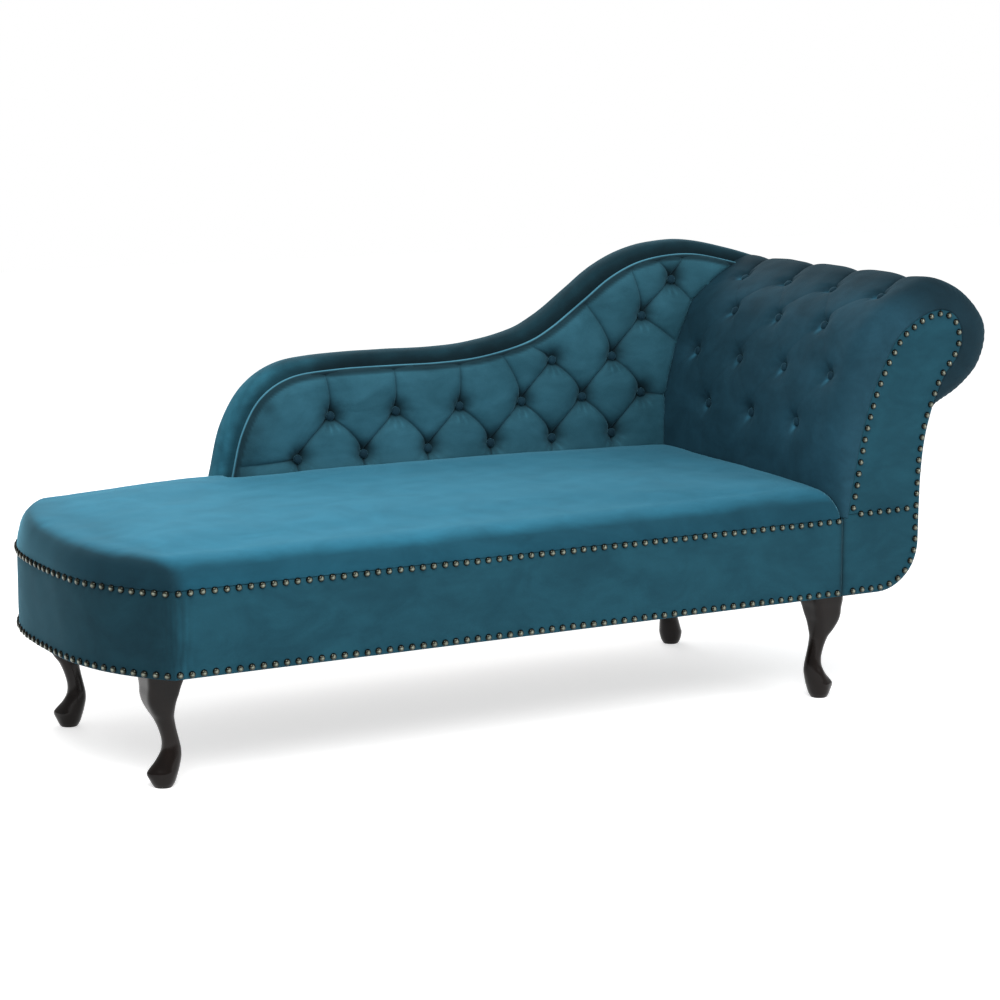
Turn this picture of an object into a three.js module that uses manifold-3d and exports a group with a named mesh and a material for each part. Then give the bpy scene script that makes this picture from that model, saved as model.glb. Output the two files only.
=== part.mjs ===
// A fainting couch: a bowed seat on four cabriole legs, a serpentine tufted back and a scrolled head arm.
// Millimetres, +Z up. X runs from the foot end to the head arm, Y from the front to the back.

import * as THREE from "three";
import { mergeVertices } from "three/addons/utils/BufferGeometryUtils.js";
import Module from "manifold-3d";

const wasm = await Module();
wasm.setup();

// Driving dimensions

const gap = 0.3;
const overrun = 20;
const velvet = 3;

const base = {
  length: 1338,
  depth: 650,
  bottom: 198,
  seam: 346,
  bow: 108,
  bowPower: 2.8,
  bowSteps: 16,
};

const seat = {
  frontRound: 76,
  rearRound: 30,
  roundRise: 49,
  crown: 12,
  crownReach: 190,
  wall: 5,
  roundSteps: 4,
  crownSteps: 2,
  lengthSteps: 5,
};

const frame = {
  rail: 22,
  bentRail: 18,
  railDrop: 6,
  tail: 13,
  block: 60,
  blockHeight: 60,
  strapWidth: 60,
  strap: 2,
  strapCount: 3,
  strapSpacing: 250,
  dustCloth: 1.2,
};

const back = {
  start: 362,
  setIn: 40,
  padding: 18,
  lining: 3,
  timber: 20,
  crown: 27,
  welt: 5,
  topRail: 60,
  post: 50,
  pathSteps: 42,
};

const backQuilt = {
  firstColumnShare: 0.1506,
  columnPitchShare: 0.1434,
  firstRowShare: 0.2097,
  rowPitchShare: 0.1774,
  puff: 12,
  pleat: 7,
  pleatWidth: 11,
  dimple: 20,
  dimpleWidth: 17,
  edge: 12,
  edgeWidth: 13,
  division: 2,
};

const head = {
  reach: 326,
  rise: 434,
  splitRise: 6,
  cornerRadius: 92,
  board: 18,
  lining: 3,
  foamShare: 0.5,
  padRound: 46,
  frontRim: 2,
  roundSteps: 4,
  stretcher: 34,
};

const headQuilt = {
  firstRowShare: 0.19,
  rowPitchShare: 0.1165,
  firstColumnShare: 0.1415,
  columnPitchShare: 0.2308,
  overCrestShare: 0.27,
  fullDepth: 40,
  pleat: 7,
  pleatWidth: 13,
  dimple: 20,
  dimpleWidth: 20,
  division: 2,
};

const button = {
  radius: 9,
  rise: 6,
  lift: 8,
  shank: 1.5,
  twine: 2,
  sides: 6,
  shankSides: 4,
};

const nail = {
  radius: 5.5,
  rise: 4,
  pitch: 21.3,
  strip: 12,
  stripThickness: 0.8,
  belowSeam: 4,
  aboveBottom: 8,
  inset: 9,
  sides: 4,
};

const leg = {
  top: 58,
  footInset: 80,
  rearFootInset: 122,
  headInset: 40,
  rearHeadInset: 100,
  footEnd: 12,
  headEnd: 22,
  rearTurn: 40,
  sides: 12,
};

const bolt = {
  radius: 4,
  inLeg: 35,
  inBlock: 40,
  joinRadius: 5,
  joinHead: 9,
  joinHeadHeight: 5,
  sides: 6,
};

// Outlines as shares of the sizes they follow

// Top edge of the back's timber from the foot end to the crest, as shares of the way to the
// crest and of its height over the seam
const backOutlineShares = [
  [0.011, 0.181],
  [0.028, 0.351],
  [0.06, 0.492],
  [0.113, 0.574],
  [0.194, 0.596],
  [0.295, 0.597],
  [0.378, 0.595],
  [0.455, 0.608],
  [0.535, 0.653],
  [0.585, 0.714],
  [0.65, 0.834],
  [0.701, 0.931],
  [0.754, 0.996],
  [0.811, 1.025],
  [0.869, 1.026],
  [0.928, 0.996],
];

// Edge of the scroll panel from the seam up and over to the neck, as shares of head.reach and
// head.rise
const scrollEdgeShares = [
  [0.031, 0],
  [0.08, 0.221],
  [0.135, 0.407],
  [0.212, 0.574],
  [0.34, 0.749],
  [0.442, 0.816],
  [0.564, 0.862],
  [0.681, 0.874],
  [0.782, 0.836],
  [0.828, 0.748],
  [0.79, 0.658],
  [0.704, 0.58],
  [0.629, 0.468],
];

// Face of the head pad opposite the same points, in the same shares
const scrollPadShares = [
  [-0.021, 0],
  [-0.025, 0.228],
  [-0.006, 0.407],
  [0.049, 0.574],
  [0.166, 0.788],
  [0.301, 0.887],
  [0.482, 0.966],
  [0.669, 1.006],
  [0.9, 0.94],
  [1.073, 0.792],
  [1.04, 0.622],
  [0.865, 0.502],
  [0.645, 0.441],
];

// Outer side of the head arm from the neck down, in the same shares
const scrollSideShares = [
  [0.583, 0.348],
  [0.555, 0.217],
  [0.543, 0.016],
];

// Cabriole leg from the top block down: height, forward sway and half width, as shares of the
// leg's height and of half its top block, then how square the section is
const legShares = [
  [1, 0.12, 1.1, 1],
  [0.95, 0.13, 1.09, 1],
  [0.88, 0.19, 1, 0.85],
  [0.81, 0.25, 0.95, 0.6],
  [0.74, 0.27, 0.86, 0.35],
  [0.66, 0.16, 0.72, 0.15],
  [0.59, 0, 0.6, 0],
  [0.5, -0.19, 0.52, 0],
  [0.4, -0.36, 0.51, 0],
  [0.32, -0.4, 0.58, 0],
  [0.25, -0.3, 0.68, 0],
  [0.17, -0.1, 0.76, 0],
  [0.12, 0.04, 0.8, 0],
  [0.05, 0.1, 0.7, 0],
  [0.012, 0.12, 0.58, 0],
  [0, 0.12, 0.52, 0],
];
const toeShares = { height: 0.14, spread: 0.08, reach: 0.34, sharpness: 6 };

// Button rows of the back: which row, first column and how many, in pitches
const backButtonRows = [
  { name: "back_buttons_lower_row", spots: [{ row: 0, from: 0, count: 6 }] },
  { name: "back_buttons_middle_row", spots: [{ row: 1, from: 0.5, count: 6 }] },
  {
    name: "back_buttons_rise",
    spots: [
      { row: 2, from: 4, count: 2 },
      { row: 3, from: 5.5, count: 1 },
      { row: 4, from: 6, count: 1 },
    ],
  },
];

const headButtonRows = [
  { name: "head_buttons_row_1", spots: [{ row: 0, from: 0.5, count: 3 }] },
  { name: "head_buttons_row_2", spots: [{ row: 1, from: 0, count: 4 }] },
  { name: "head_buttons_row_3", spots: [{ row: 2, from: 0.5, count: 3 }] },
  { name: "head_buttons_row_4", spots: [{ row: 3, from: 0, count: 4 }] },
];

// Section of the padded border: how far back and how far out, as shares of its depth and crown
const borderShares = [
  [0, 0.3],
  [0.12, 0.8],
  [0.5, 1],
  [0.88, 0.8],
  [1, 0],
];

// Stretchers of the head arm over its lowest, as shares of head.reach and head.rise
const stretcherShares = [
  { name: "head_stretcher_side", share: [0.436, -0.106] },
  { name: "head_stretcher_neck", share: [0.497, 0.401] },
  { name: "head_stretcher_scroll", share: [0.681, 0.752] },
];

// Colours, roughness and metalness

const looks = {
  velvet: { color: 0x1f6479, roughness: 0.85, metalness: 0 },
  velvetDark: { color: 0x1b4a5c, roughness: 0.85, metalness: 0 },
  foam: { color: 0xe6dcb4, roughness: 0.95, metalness: 0 },
  timber: { color: 0xc49a62, roughness: 0.7, metalness: 0 },
  board: { color: 0x9a7b53, roughness: 0.8, metalness: 0 },
  darkWood: { color: 0x2a2220, roughness: 0.35, metalness: 0 },
  brass: { color: 0x7a6238, roughness: 0.4, metalness: 0.9 },
  steel: { color: 0xa9adb0, roughness: 0.4, metalness: 0.9 },
  cloth: { color: 0x1a1a1c, roughness: 0.9, metalness: 0 },
  twine: { color: 0x2a6a7e, roughness: 0.8, metalness: 0 },
};

// Closed bodies and booleans

function signedVolume(positions, index) {
  const a = new THREE.Vector3();
  const b = new THREE.Vector3();
  const c = new THREE.Vector3();
  let sum = 0;
  for (let i = 0; i < index.length; i += 3) {
    a.fromBufferAttribute(positions, index[i]);
    b.fromBufferAttribute(positions, index[i + 1]);
    c.fromBufferAttribute(positions, index[i + 2]);
    sum += a.dot(b.cross(c));
  }
  return sum;
}

function solidOf(geometry) {
  const bare = geometry.clone();
  bare.deleteAttribute("normal");
  bare.deleteAttribute("uv");
  const merged = mergeVertices(bare);
  const triangles = Array.from(merged.index.array);
  if (signedVolume(merged.attributes.position, triangles) < 0) {
    triangles.reverse();
  }
  const mesh = new wasm.Mesh({
    numProp: 3,
    vertProperties: merged.attributes.position.array,
    triVerts: Uint32Array.from(triangles),
  });
  return new wasm.Manifold(mesh);
}

function geometryOf(solid) {
  const { vertProperties, triVerts } = solid.getMesh();
  const geometry = new THREE.BufferGeometry();
  geometry.setAttribute("position", new THREE.BufferAttribute(vertProperties, 3));
  geometry.setIndex(new THREE.BufferAttribute(triVerts, 1));
  geometry.computeVertexNormals();
  return geometry;
}

function joined(solids) {
  return solids.reduce((whole, solid) => whole.add(solid));
}

function cut(solid, ...tools) {
  return tools.reduce((rest, tool) => rest.subtract(tool), solid);
}

// Simple shapes

function block([x0, x1], [y0, y1], [z0, z1]) {
  const geometry = new THREE.BoxGeometry(x1 - x0, y1 - y0, z1 - z0);
  geometry.translate((x0 + x1) / 2, (y0 + y1) / 2, (z0 + z1) / 2);
  return solidOf(geometry);
}

// A plan outline in X and Y, raised from one height to another
function raised(plan, [z0, z1]) {
  const geometry = new THREE.ExtrudeGeometry(new THREE.Shape(plan), { depth: z1 - z0, bevelEnabled: false });
  geometry.translate(0, 0, z0);
  return solidOf(geometry);
}

// A side outline in X and Z, drawn back from one depth to another
function drawn(side, [y0, y1]) {
  const geometry = new THREE.ExtrudeGeometry(new THREE.Shape(side), { depth: y1 - y0, bevelEnabled: false });
  geometry.rotateX(Math.PI / 2);
  geometry.translate(0, y1, 0);
  return solidOf(geometry);
}

function rod(radius, from, to, sides) {
  const along = to.clone().sub(from);
  const geometry = new THREE.CylinderGeometry(radius, radius, along.length(), sides);
  const upward = new THREE.Vector3(0, 1, 0);
  const turn = new THREE.Quaternion().setFromUnitVectors(upward, along.clone().normalize());
  geometry.applyQuaternion(turn);
  geometry.translate(...from.clone().add(to).multiplyScalar(1 / 2).toArray());
  return solidOf(geometry);
}

// A body turned about its own axis, set on a point and facing outward
function turned(profile, point, outward, sides) {
  const geometry = new THREE.LatheGeometry(profile, sides);
  const turn = new THREE.Quaternion().setFromUnitVectors(new THREE.Vector3(0, 1, 0), outward);
  geometry.applyQuaternion(turn);
  geometry.translate(...point.toArray());
  return solidOf(geometry);
}

// A closed skin over equal rings of points, with flat ends
function skin(rings, flat) {
  const count = rings[0].length;
  const positions = rings.flat().flatMap((point) => point.toArray());
  const index = [];
  for (let r = 0; r + 1 < rings.length; r += 1) {
    for (let i = 0; i < count; i += 1) {
      const next = (i + 1) % count;
      const a = r * count + i;
      const b = r * count + next;
      index.push(a, b, b + count, a, b + count, a + count);
    }
  }
  const ends = [
    { ring: rings[0], start: 0, flip: true },
    { ring: rings[rings.length - 1], start: (rings.length - 1) * count, flip: false },
  ];
  for (const { ring, start, flip } of ends) {
    const turnsLeft = THREE.ShapeUtils.area(ring.map(flat)) > 0;
    const contour = ring.map(flat);
    const ordered = turnsLeft ? contour : [...contour].reverse();
    for (const [i, j, k] of THREE.ShapeUtils.triangulateShape(ordered, [])) {
      const spot = (n) => start + (turnsLeft ? n : count - 1 - n);
      const face = [spot(i), spot(j), spot(k)];
      if (flip === turnsLeft) {
        face.reverse();
      }
      index.push(...face);
    }
  }
  const geometry = new THREE.BufferGeometry();
  geometry.setAttribute("position", new THREE.Float32BufferAttribute(positions, 3));
  geometry.setIndex(index);
  return solidOf(geometry);
}

// A closed body between two matching grids of points; leaning says which way a face is split
function between(front, rear, leaning) {
  const rows = front.length;
  const columns = front[0].length;
  const positions = [front, rear].flatMap((grid) => grid.flat().flatMap((point) => point.toArray()));
  const spot = (side, i, j) => side * rows * columns + i * columns + j;
  const index = [];
  const quad = (a, b, c, d) => index.push(a, b, c, a, c, d);
  for (let i = 0; i + 1 < rows; i += 1) {
    for (let j = 0; j + 1 < columns; j += 1) {
      const [a, b, c, d] = [spot(0, i, j), spot(0, i, j + 1), spot(0, i + 1, j + 1), spot(0, i + 1, j)];
      if (leaning(i, j)) {
        index.push(a, b, d, b, c, d);
      } else {
        quad(a, b, c, d);
      }
      quad(spot(1, i, j), spot(1, i + 1, j), spot(1, i + 1, j + 1), spot(1, i, j + 1));
    }
  }
  for (let i = 0; i + 1 < rows; i += 1) {
    quad(spot(0, i, 0), spot(0, i + 1, 0), spot(1, i + 1, 0), spot(1, i, 0));
    const last = columns - 1;
    quad(spot(0, i + 1, last), spot(0, i, last), spot(1, i, last), spot(1, i + 1, last));
  }
  for (let j = 0; j + 1 < columns; j += 1) {
    quad(spot(0, 0, j + 1), spot(0, 0, j), spot(1, 0, j), spot(1, 0, j + 1));
    const last = rows - 1;
    quad(spot(0, last, j), spot(0, last, j + 1), spot(1, last, j + 1), spot(1, last, j));
  }
  const geometry = new THREE.BufferGeometry();
  geometry.setAttribute("position", new THREE.Float32BufferAttribute(positions, 3));
  geometry.setIndex(index);
  return solidOf(geometry);
}

// Lines in a plane

function pointAt(share, [x0, width], [z0, rise]) {
  return new THREE.Vector2(x0 + share[0] * width, z0 + share[1] * rise);
}

function smoothed(points, steps) {
  return new THREE.SplineCurve(points).getSpacedPoints(steps);
}

// The same line moved sideways: a positive distance goes to the left of its run
function shifted(line, distance) {
  return line.map((point, i) => {
    const before = line[Math.max(i - 1, 0)];
    const after = line[Math.min(i + 1, line.length - 1)];
    const run = after.clone().sub(before).normalize();
    return new THREE.Vector2(point.x - run.y * distance, point.y + run.x * distance);
  });
}

function distanceTo(line, point) {
  let least = Infinity;
  for (let i = 0; i + 1 < line.length; i += 1) {
    const run = line[i + 1].clone().sub(line[i]);
    const along = point.clone().sub(line[i]).dot(run) / Math.max(run.lengthSq(), Number.EPSILON);
    const near = line[i].clone().addScaledVector(run, THREE.MathUtils.clamp(along, 0, 1));
    least = Math.min(least, near.distanceTo(point));
  }
  return least;
}

// Points at an even pitch along a line, with the run of the line at each
function paced(points, pitch) {
  const path = new THREE.CurvePath();
  for (let i = 0; i + 1 < points.length; i += 1) {
    path.add(new THREE.LineCurve3(points[i], points[i + 1]));
  }
  const count = Math.max(Math.floor(path.getLength() / pitch), 1);
  return Array.from({ length: count }, (_, i) => ({
    point: path.getPointAt((i + 1 / 2) / count),
    run: path.getTangentAt((i + 1 / 2) / count),
  }));
}

// The base's plan

function bowShare(y) {
  return Math.abs((2 * y) / base.depth - 1);
}

function footEdge(y, inset) {
  const share = bowShare(y);
  const out = -base.bow * (1 - share ** base.bowPower);
  const slope = (2 * base.bow * base.bowPower * share ** (base.bowPower - 1)) / base.depth;
  return out + inset * Math.hypot(1, slope);
}

// The plan line from the head end along the front, round the bow and back along the rear
function planLine(end, frontInset, rearInset) {
  const line = [new THREE.Vector2(end, frontInset)];
  for (let i = 0; i <= base.bowSteps; i += 1) {
    const share = i / base.bowSteps;
    const y = THREE.MathUtils.lerp(frontInset, base.depth - rearInset, share);
    line.push(new THREE.Vector2(footEdge(y, THREE.MathUtils.lerp(frontInset, rearInset, share)), y));
  }
  line.push(new THREE.Vector2(end, base.depth - rearInset));
  return line;
}

function planBand(end, outer, inner) {
  return [...planLine(end, outer, outer), ...planLine(end, inner, inner).reverse()];
}

// Places that follow from the sizes

const backFace = base.depth - back.setIn;
const coverBack = backFace + back.padding;
const panelSplit = base.seam + head.splitRise;
const upperNails = base.seam - nail.belowSeam;
const lowerNails = base.bottom + nail.aboveBottom;

// Scene graph

const couch = new THREE.Group();
const baseGroup = new THREE.Group();
const backGroup = new THREE.Group();
const headGroup = new THREE.Group();
const legGroup = new THREE.Group();
couch.add(baseGroup, backGroup, headGroup, legGroup);

function place(group, name, solid, look) {
  const mesh = new THREE.Mesh(geometryOf(solid), new THREE.MeshStandardMaterial(looks[look]));
  mesh.name = name;
  group.add(mesh);
  return mesh;
}

// The head arm's outlines, which the seat and the back are cut to

const headLeft = [base.length, head.reach];
const headUp = [base.seam, head.rise];
const scrollEdge = new THREE.SplineCurve(scrollEdgeShares.map((share) => pointAt(share, headLeft, headUp)));
const scrollPad = new THREE.SplineCurve(scrollPadShares.map((share) => pointAt(share, headLeft, headUp)));

// The outer side from the neck down, round the corner and along the bottom to an end
function outerSide(inset, end) {
  const side = scrollSideShares.map((share) => pointAt(share, headLeft, headUp));
  const neck = scrollEdge.getPoint(1);
  const right = side[side.length - 1].x;
  const corner = new THREE.EllipseCurve(
    right - head.cornerRadius,
    base.bottom + head.cornerRadius,
    head.cornerRadius,
    head.cornerRadius,
    0,
    -Math.PI / 2,
    true,
  );
  const cornerSteps = 6;
  const run = [neck, ...side, ...corner.getPoints(cornerSteps), new THREE.Vector2(end, base.bottom)];
  return shifted(run, -inset);
}

function padPoint(share, depthShare) {
  const t = scrollPad.getUtoTmapping(share);
  return scrollEdge.getPoint(t).lerp(scrollPad.getPoint(t), depthShare);
}

// Lines across the pad: one for each step of its quilting, and twice as many over the scroll
const padLength = scrollPad.getLength();
const headLattice = lattice(headQuilt, [0, base.depth], [0, padLength]);
const lastButtonRow = headLattice.firstRow + headLattice.rowPitch * (headButtonRows.length - 1);
const quiltRows = gridLines(0, padLength, headLattice.firstRow, headLattice.rowStep);
const padRows = quiltRows.flatMap((along, i, lines) =>
  along > lastButtonRow ? [(along + lines[i - 1]) / 2, along] : [along],
);

function padLine(depthShare) {
  return padRows.map((along) => padPoint(along / padLength, depthShare));
}

const baseEnd = base.length + frame.tail;
const headLimit = base.length + head.reach * 2;
const armCorner = outerSide(-gap, base.length).slice(1, -1);
const armReach = [base.length + (head.reach * 5) / 8, headLimit];
const armHeights = [base.bottom - overrun, base.seam + head.rise * 2];
const armDepths = [-overrun, base.depth + gap];
const armSpace = drawn(
  [
    new THREE.Vector2(base.length - gap, base.bottom - overrun),
    new THREE.Vector2(base.length - gap, base.seam - gap),
    ...shifted(padLine(1), gap),
    ...armCorner,
    new THREE.Vector2(armCorner[armCorner.length - 1].x, base.bottom - overrun),
  ],
  armDepths,
).add(block(armReach, armDepths, armHeights));

// Base frame

const railFace = velvet + gap;
const railInside = railFace + frame.rail + gap;
const railBottom = base.bottom + frame.dustCloth + gap;
const railTop = base.seam - frame.railDrop;
const railHeights = [railBottom, railTop];
const insideDepths = [railInside, base.depth - railInside];
const footLimit = -base.bow - overrun;
const insidePlan = raised(planLine(baseEnd, railFace, railFace), railHeights);
const baseLengths = [footLimit, baseEnd];
const frontDepths = [railFace, railFace + frame.rail];
const rearDepths = [base.depth - railFace - frame.rail, base.depth - railFace];
const frontRail = block(baseLengths, frontDepths, railHeights).intersect(insidePlan);
const rearRail = block(baseLengths, rearDepths, railHeights).intersect(insidePlan);
const bentRail = raised(planBand(baseEnd, railFace, railFace + frame.bentRail), railHeights).intersect(
  block(baseLengths, insideDepths, railHeights),
);
const headEndRail = block([baseEnd - frame.bentRail, baseEnd], insideDepths, railHeights);

const legFoot = leg.footEnd;
const legHead = base.length - leg.headEnd;
const legSpots = [
  { name: "front_foot_end", x: legFoot, y: leg.footInset, turn: 180, side: 1 },
  { name: "rear_foot_end", x: legFoot, y: base.depth - leg.rearFootInset, turn: 180 - leg.rearTurn, side: 1 },
  { name: "front_head_end", x: legHead, y: leg.headInset, turn: 0, side: -1 },
  { name: "rear_head_end", x: legHead, y: base.depth - leg.rearHeadInset, turn: leg.rearTurn, side: -1 },
];

function upright(spot, radius, [z0, z1]) {
  const from = new THREE.Vector3(spot.x, spot.y, z0);
  return rod(radius, from, from.clone().setZ(z1), bolt.sides);
}

const holeHeights = [-overrun, railBottom + bolt.inBlock + gap];
const boltHoles = legSpots.map((spot) => upright(spot, bolt.radius + gap, holeHeights));

const bentInside = railFace + frame.bentRail + gap;
const blockPlan = raised(planLine(baseEnd - bentInside + railFace, bentInside, bentInside), railHeights);
const cornerBlocks = legSpots.map((spot, i) => {
  const front = spot.y < base.depth / 2;
  const depths = front
    ? [railInside, spot.y + frame.block / 2]
    : [spot.y - frame.block / 2, base.depth - railInside];
  const lengths = spot.side > 0 ? [footLimit, spot.x + frame.block] : [spot.x - frame.block, baseEnd];
  const body = block(lengths, depths, [railBottom, railBottom + frame.blockHeight]);
  return cut(body.intersect(blockPlan), boltHoles[i]);
});

// Bolts that tie the back and the head arm to the base, headed inside it

const joinHeight = railBottom + frame.blockHeight / 2;
const backBolts = [back.start + back.post * 2, base.length - back.post * 2].map((x) => ({
  from: new THREE.Vector3(x, base.depth - railInside, joinHeight),
  way: new THREE.Vector3(0, 1, 0),
  reach: railInside + back.lining + 2 * gap + back.timber / 2,
}));
const headBolts = [base.depth / 4, (base.depth * 3) / 4].map((y) => ({
  from: new THREE.Vector3(baseEnd - frame.bentRail - gap, y, joinHeight),
  way: new THREE.Vector3(1, 0, 0),
  reach: frame.bentRail + 2 * gap + head.stretcher / 2,
}));

function joinBolt({ from, way, reach }, clearance) {
  const tip = from.clone().addScaledVector(way, reach - gap + clearance);
  const top = from.clone().addScaledVector(way, -bolt.joinHeadHeight - clearance);
  const start = from.clone().addScaledVector(way, -bolt.joinHeadHeight / 2);
  return joined([
    rod(bolt.joinRadius + clearance, start, tip, bolt.sides),
    rod(bolt.joinHead + clearance, top, from.clone().addScaledVector(way, clearance), bolt.sides),
  ]);
}

const joinHoles = [...backBolts, ...headBolts].map((spec) => {
  const tip = spec.from.clone().addScaledVector(spec.way, spec.reach + gap);
  return rod(bolt.joinRadius + gap, spec.from, tip, bolt.sides);
});

place(baseGroup, "seat_front_rail", frontRail, "timber");
place(baseGroup, "seat_rear_rail", cut(rearRail, ...joinHoles), "timber");
place(baseGroup, "seat_foot_end_rail", bentRail, "timber");
place(baseGroup, "seat_head_end_rail", cut(headEndRail, ...joinHoles), "timber");
legSpots.forEach((spot, i) => place(baseGroup, `corner_block_${spot.name}`, cornerBlocks[i], "timber"));
backBolts.forEach((spec, i) => place(baseGroup, `back_bolt_${i + 1}`, joinBolt(spec, 0), "steel"));
headBolts.forEach((spec, i) => place(baseGroup, `head_bolt_${i + 1}`, joinBolt(spec, 0), "steel"));

// Webbing straps across and along the frame, crossed and fixed to its top

const strapHeights = [railTop + gap, railTop + gap + frame.strap];
const strapsAcross = Math.max(Math.floor(base.length / frame.strapSpacing), 1);
const strapSpan = (middle) => [middle - frame.strapWidth / 2, middle + frame.strapWidth / 2];
const across = Array.from({ length: strapsAcross }, (_, i) => {
  const middle = (base.length * (i + 1 / 2)) / strapsAcross;
  return block(strapSpan(middle), [railFace, base.depth - railFace], strapHeights);
});
const along = Array.from({ length: frame.strapCount }, (_, i) => {
  const middle = (base.depth * (i + 1)) / (frame.strapCount + 1);
  return block([-base.bow, baseEnd], strapSpan(middle), strapHeights);
});
const strapPlan = raised(planLine(baseEnd, seat.wall + gap, seat.wall + gap), strapHeights);
place(baseGroup, "seat_webbing", joined([...across, ...along]).intersect(strapPlan), "cloth");

const dustPlan = raised(planLine(baseEnd, railFace, railFace), [base.bottom, base.bottom + frame.dustCloth]);
place(baseGroup, "seat_dust_cloth", cut(dustPlan, ...boltHoles), "cloth");

const apron = raised(planBand(base.length - gap, 0, velvet), [base.bottom, base.seam]);
place(baseGroup, "seat_apron", cut(apron, ...joinHoles), "velvet");

// Seat cushion: a crowned top with rounded edges over a foam slab

function cushionLine(end, front, rear) {
  const line = planLine(end, front, rear);
  const [first, second] = line;
  const last = line[line.length - 1];
  const corner = line[line.length - 2];
  const steps = Array.from({ length: seat.lengthSteps - 1 }, (_, i) => (i + 1) / seat.lengthSteps);
  return [
    first,
    ...steps.map((share) => first.clone().lerp(second, share)),
    ...line.slice(1, -1),
    ...steps.map((share) => corner.clone().lerp(last, share)),
    last,
  ];
}

function cushion(inset, bottom) {
  const end = base.length + overrun;
  const seamHeight = base.seam + gap;
  const ring = (front, rear, height) =>
    cushionLine(end, front, rear).map((point) => new THREE.Vector3(point.x, point.y, height(point)));
  const rings = [ring(inset, inset, () => bottom), ring(inset, inset, () => seamHeight)];
  const fullness = (point) => 1 - ((2 * Math.max(point.x, 0)) / base.length - 1) ** 2;
  const edge = (point, share) => {
    const rearward = THREE.MathUtils.clamp(point.y / base.depth, 0, 1);
    const rise = seat.roundRise + seat.crown * rearward - inset;
    return seamHeight + share * (rise + seat.crown * fullness(point) * rearward);
  };
  for (let i = 1; i <= seat.roundSteps; i += 1) {
    const angle = (Math.PI / 2) * (i / seat.roundSteps);
    const drawIn = (radius) => inset + (radius - inset) * (1 - Math.cos(angle));
    const height = (point) => edge(point, Math.sin(angle));
    rings.push(ring(drawIn(seat.frontRound), drawIn(seat.rearRound), height));
  }
  for (let i = 1; i <= seat.crownSteps; i += 1) {
    const share = i / seat.crownSteps;
    const front = seat.frontRound + seat.crownReach * share;
    const rear = seat.rearRound + (seat.crownReach / 2) * share;
    rings.push(ring(front, rear, (point) => edge(point, 1) + (seat.crown / 4) * share * (2 - share)));
  }
  return skin(rings, (point) => new THREE.Vector2(point.x, point.y));
}

const seatTop = base.seam + gap + seat.roundRise + seat.crown * (2 + 1 / 4);

// The back's outline and the space that it fills

const crest = scrollPad.points.reduce((top, point) => (point.y > top.y ? point : top));
const backEdge = back.crown + gap;
const overScroll = shifted(padLine(1), -backEdge).filter(({ x }) => x > crest.x);
const toCrest = [back.start, crest.x - back.start];
const backPoints = [
  new THREE.Vector2(back.start, base.bottom),
  new THREE.Vector2(back.start, base.seam),
  ...backOutlineShares.map((share) => pointAt(share, toCrest, headUp)),
  ...overScroll.slice(0, -2),
  ...outerSide(backEdge, base.length).slice(1, -1),
];
const backLine = smoothed(backPoints, back.pathSteps);
const highest = Math.max(...backLine.map(({ y }) => y)) + overrun;

// The boards and the rear cover reach the bottom where the border ends
const borderEnd = backLine[backLine.length - 1];
const backPlan = [...backLine, new THREE.Vector2(borderEnd.x - gap, base.bottom)];
const backSpace = drawn(shifted(backLine, backEdge), [backFace - gap, base.depth + overrun]);
const backRear = base.depth + gap + back.lining + gap + back.timber + gap + velvet;

const foamBottom = railTop + frame.strap + 2 * gap;
const seatHollow = cushion(seat.wall, base.seam - overrun);
const seatCover = cut(cushion(0, base.seam + gap), seatHollow, armSpace, backSpace);
const seatFoam = cut(cushion(seat.wall + gap, foamBottom), armSpace, backSpace);
place(baseGroup, "seat_foam", seatFoam, "foam");
place(baseGroup, "seat_cover", seatCover, "velvet");

// Back: timber frame, lining board, foam and the quilted cover

const liningDepths = [base.depth + gap, base.depth + gap + back.lining];
const timberDepths = [liningDepths[1] + gap, liningDepths[1] + gap + back.timber];
const backBoard = drawn(backPlan, timberDepths);
const belowTop = backBoard.translate([0, 0, -back.topRail]);
const belowTopClear = backBoard.translate([0, 0, -back.topRail - gap]);
const postEnd = back.start + back.post;
const rightPost = [base.length + frame.tail + back.post, base.length + frame.tail + back.post * 2];
const postHeights = [base.bottom, highest];
const leftPost = backBoard.intersect(block([back.start - overrun, postEnd], timberDepths, postHeights));
const topRail = cut(backBoard, belowTop).intersect(
  block([postEnd + gap, base.length + head.reach], timberDepths, [base.seam, highest]),
);
const rightPostBody = backBoard
  .intersect(block(rightPost, timberDepths, postHeights))
  .intersect(belowTopClear);
const bottomHeights = [base.bottom, base.bottom + back.topRail];
const bottomRail = block([postEnd + gap, rightPost[0] - gap], timberDepths, bottomHeights);

place(backGroup, "back_top_rail", topRail, "timber");
place(backGroup, "back_left_post", cut(leftPost, ...joinHoles), "timber");
place(backGroup, "back_right_post", rightPostBody, "timber");
place(backGroup, "back_bottom_rail", cut(bottomRail, ...joinHoles), "timber");
place(backGroup, "back_lining_board", cut(drawn(backPlan, liningDepths), ...joinHoles), "board");
place(backGroup, "back_outer_cover", drawn(backPlan, [backRear - velvet, backRear]), "velvet");

// Buttons and pleats of a quilted face, in the plane of the face

// Where a quilt's buttons and grid lines lie, between the ends of its face
function lattice(quilt, [x0, x1], [y0, y1]) {
  const columnPitch = quilt.columnPitchShare * (x1 - x0);
  const rowPitch = quilt.rowPitchShare * (y1 - y0);
  return {
    firstColumn: x0 + quilt.firstColumnShare * (x1 - x0),
    columnPitch,
    columnStep: columnPitch / 2 / quilt.division,
    firstRow: y0 + quilt.firstRowShare * (y1 - y0),
    rowPitch,
    rowStep: rowPitch / quilt.division,
  };
}

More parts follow.
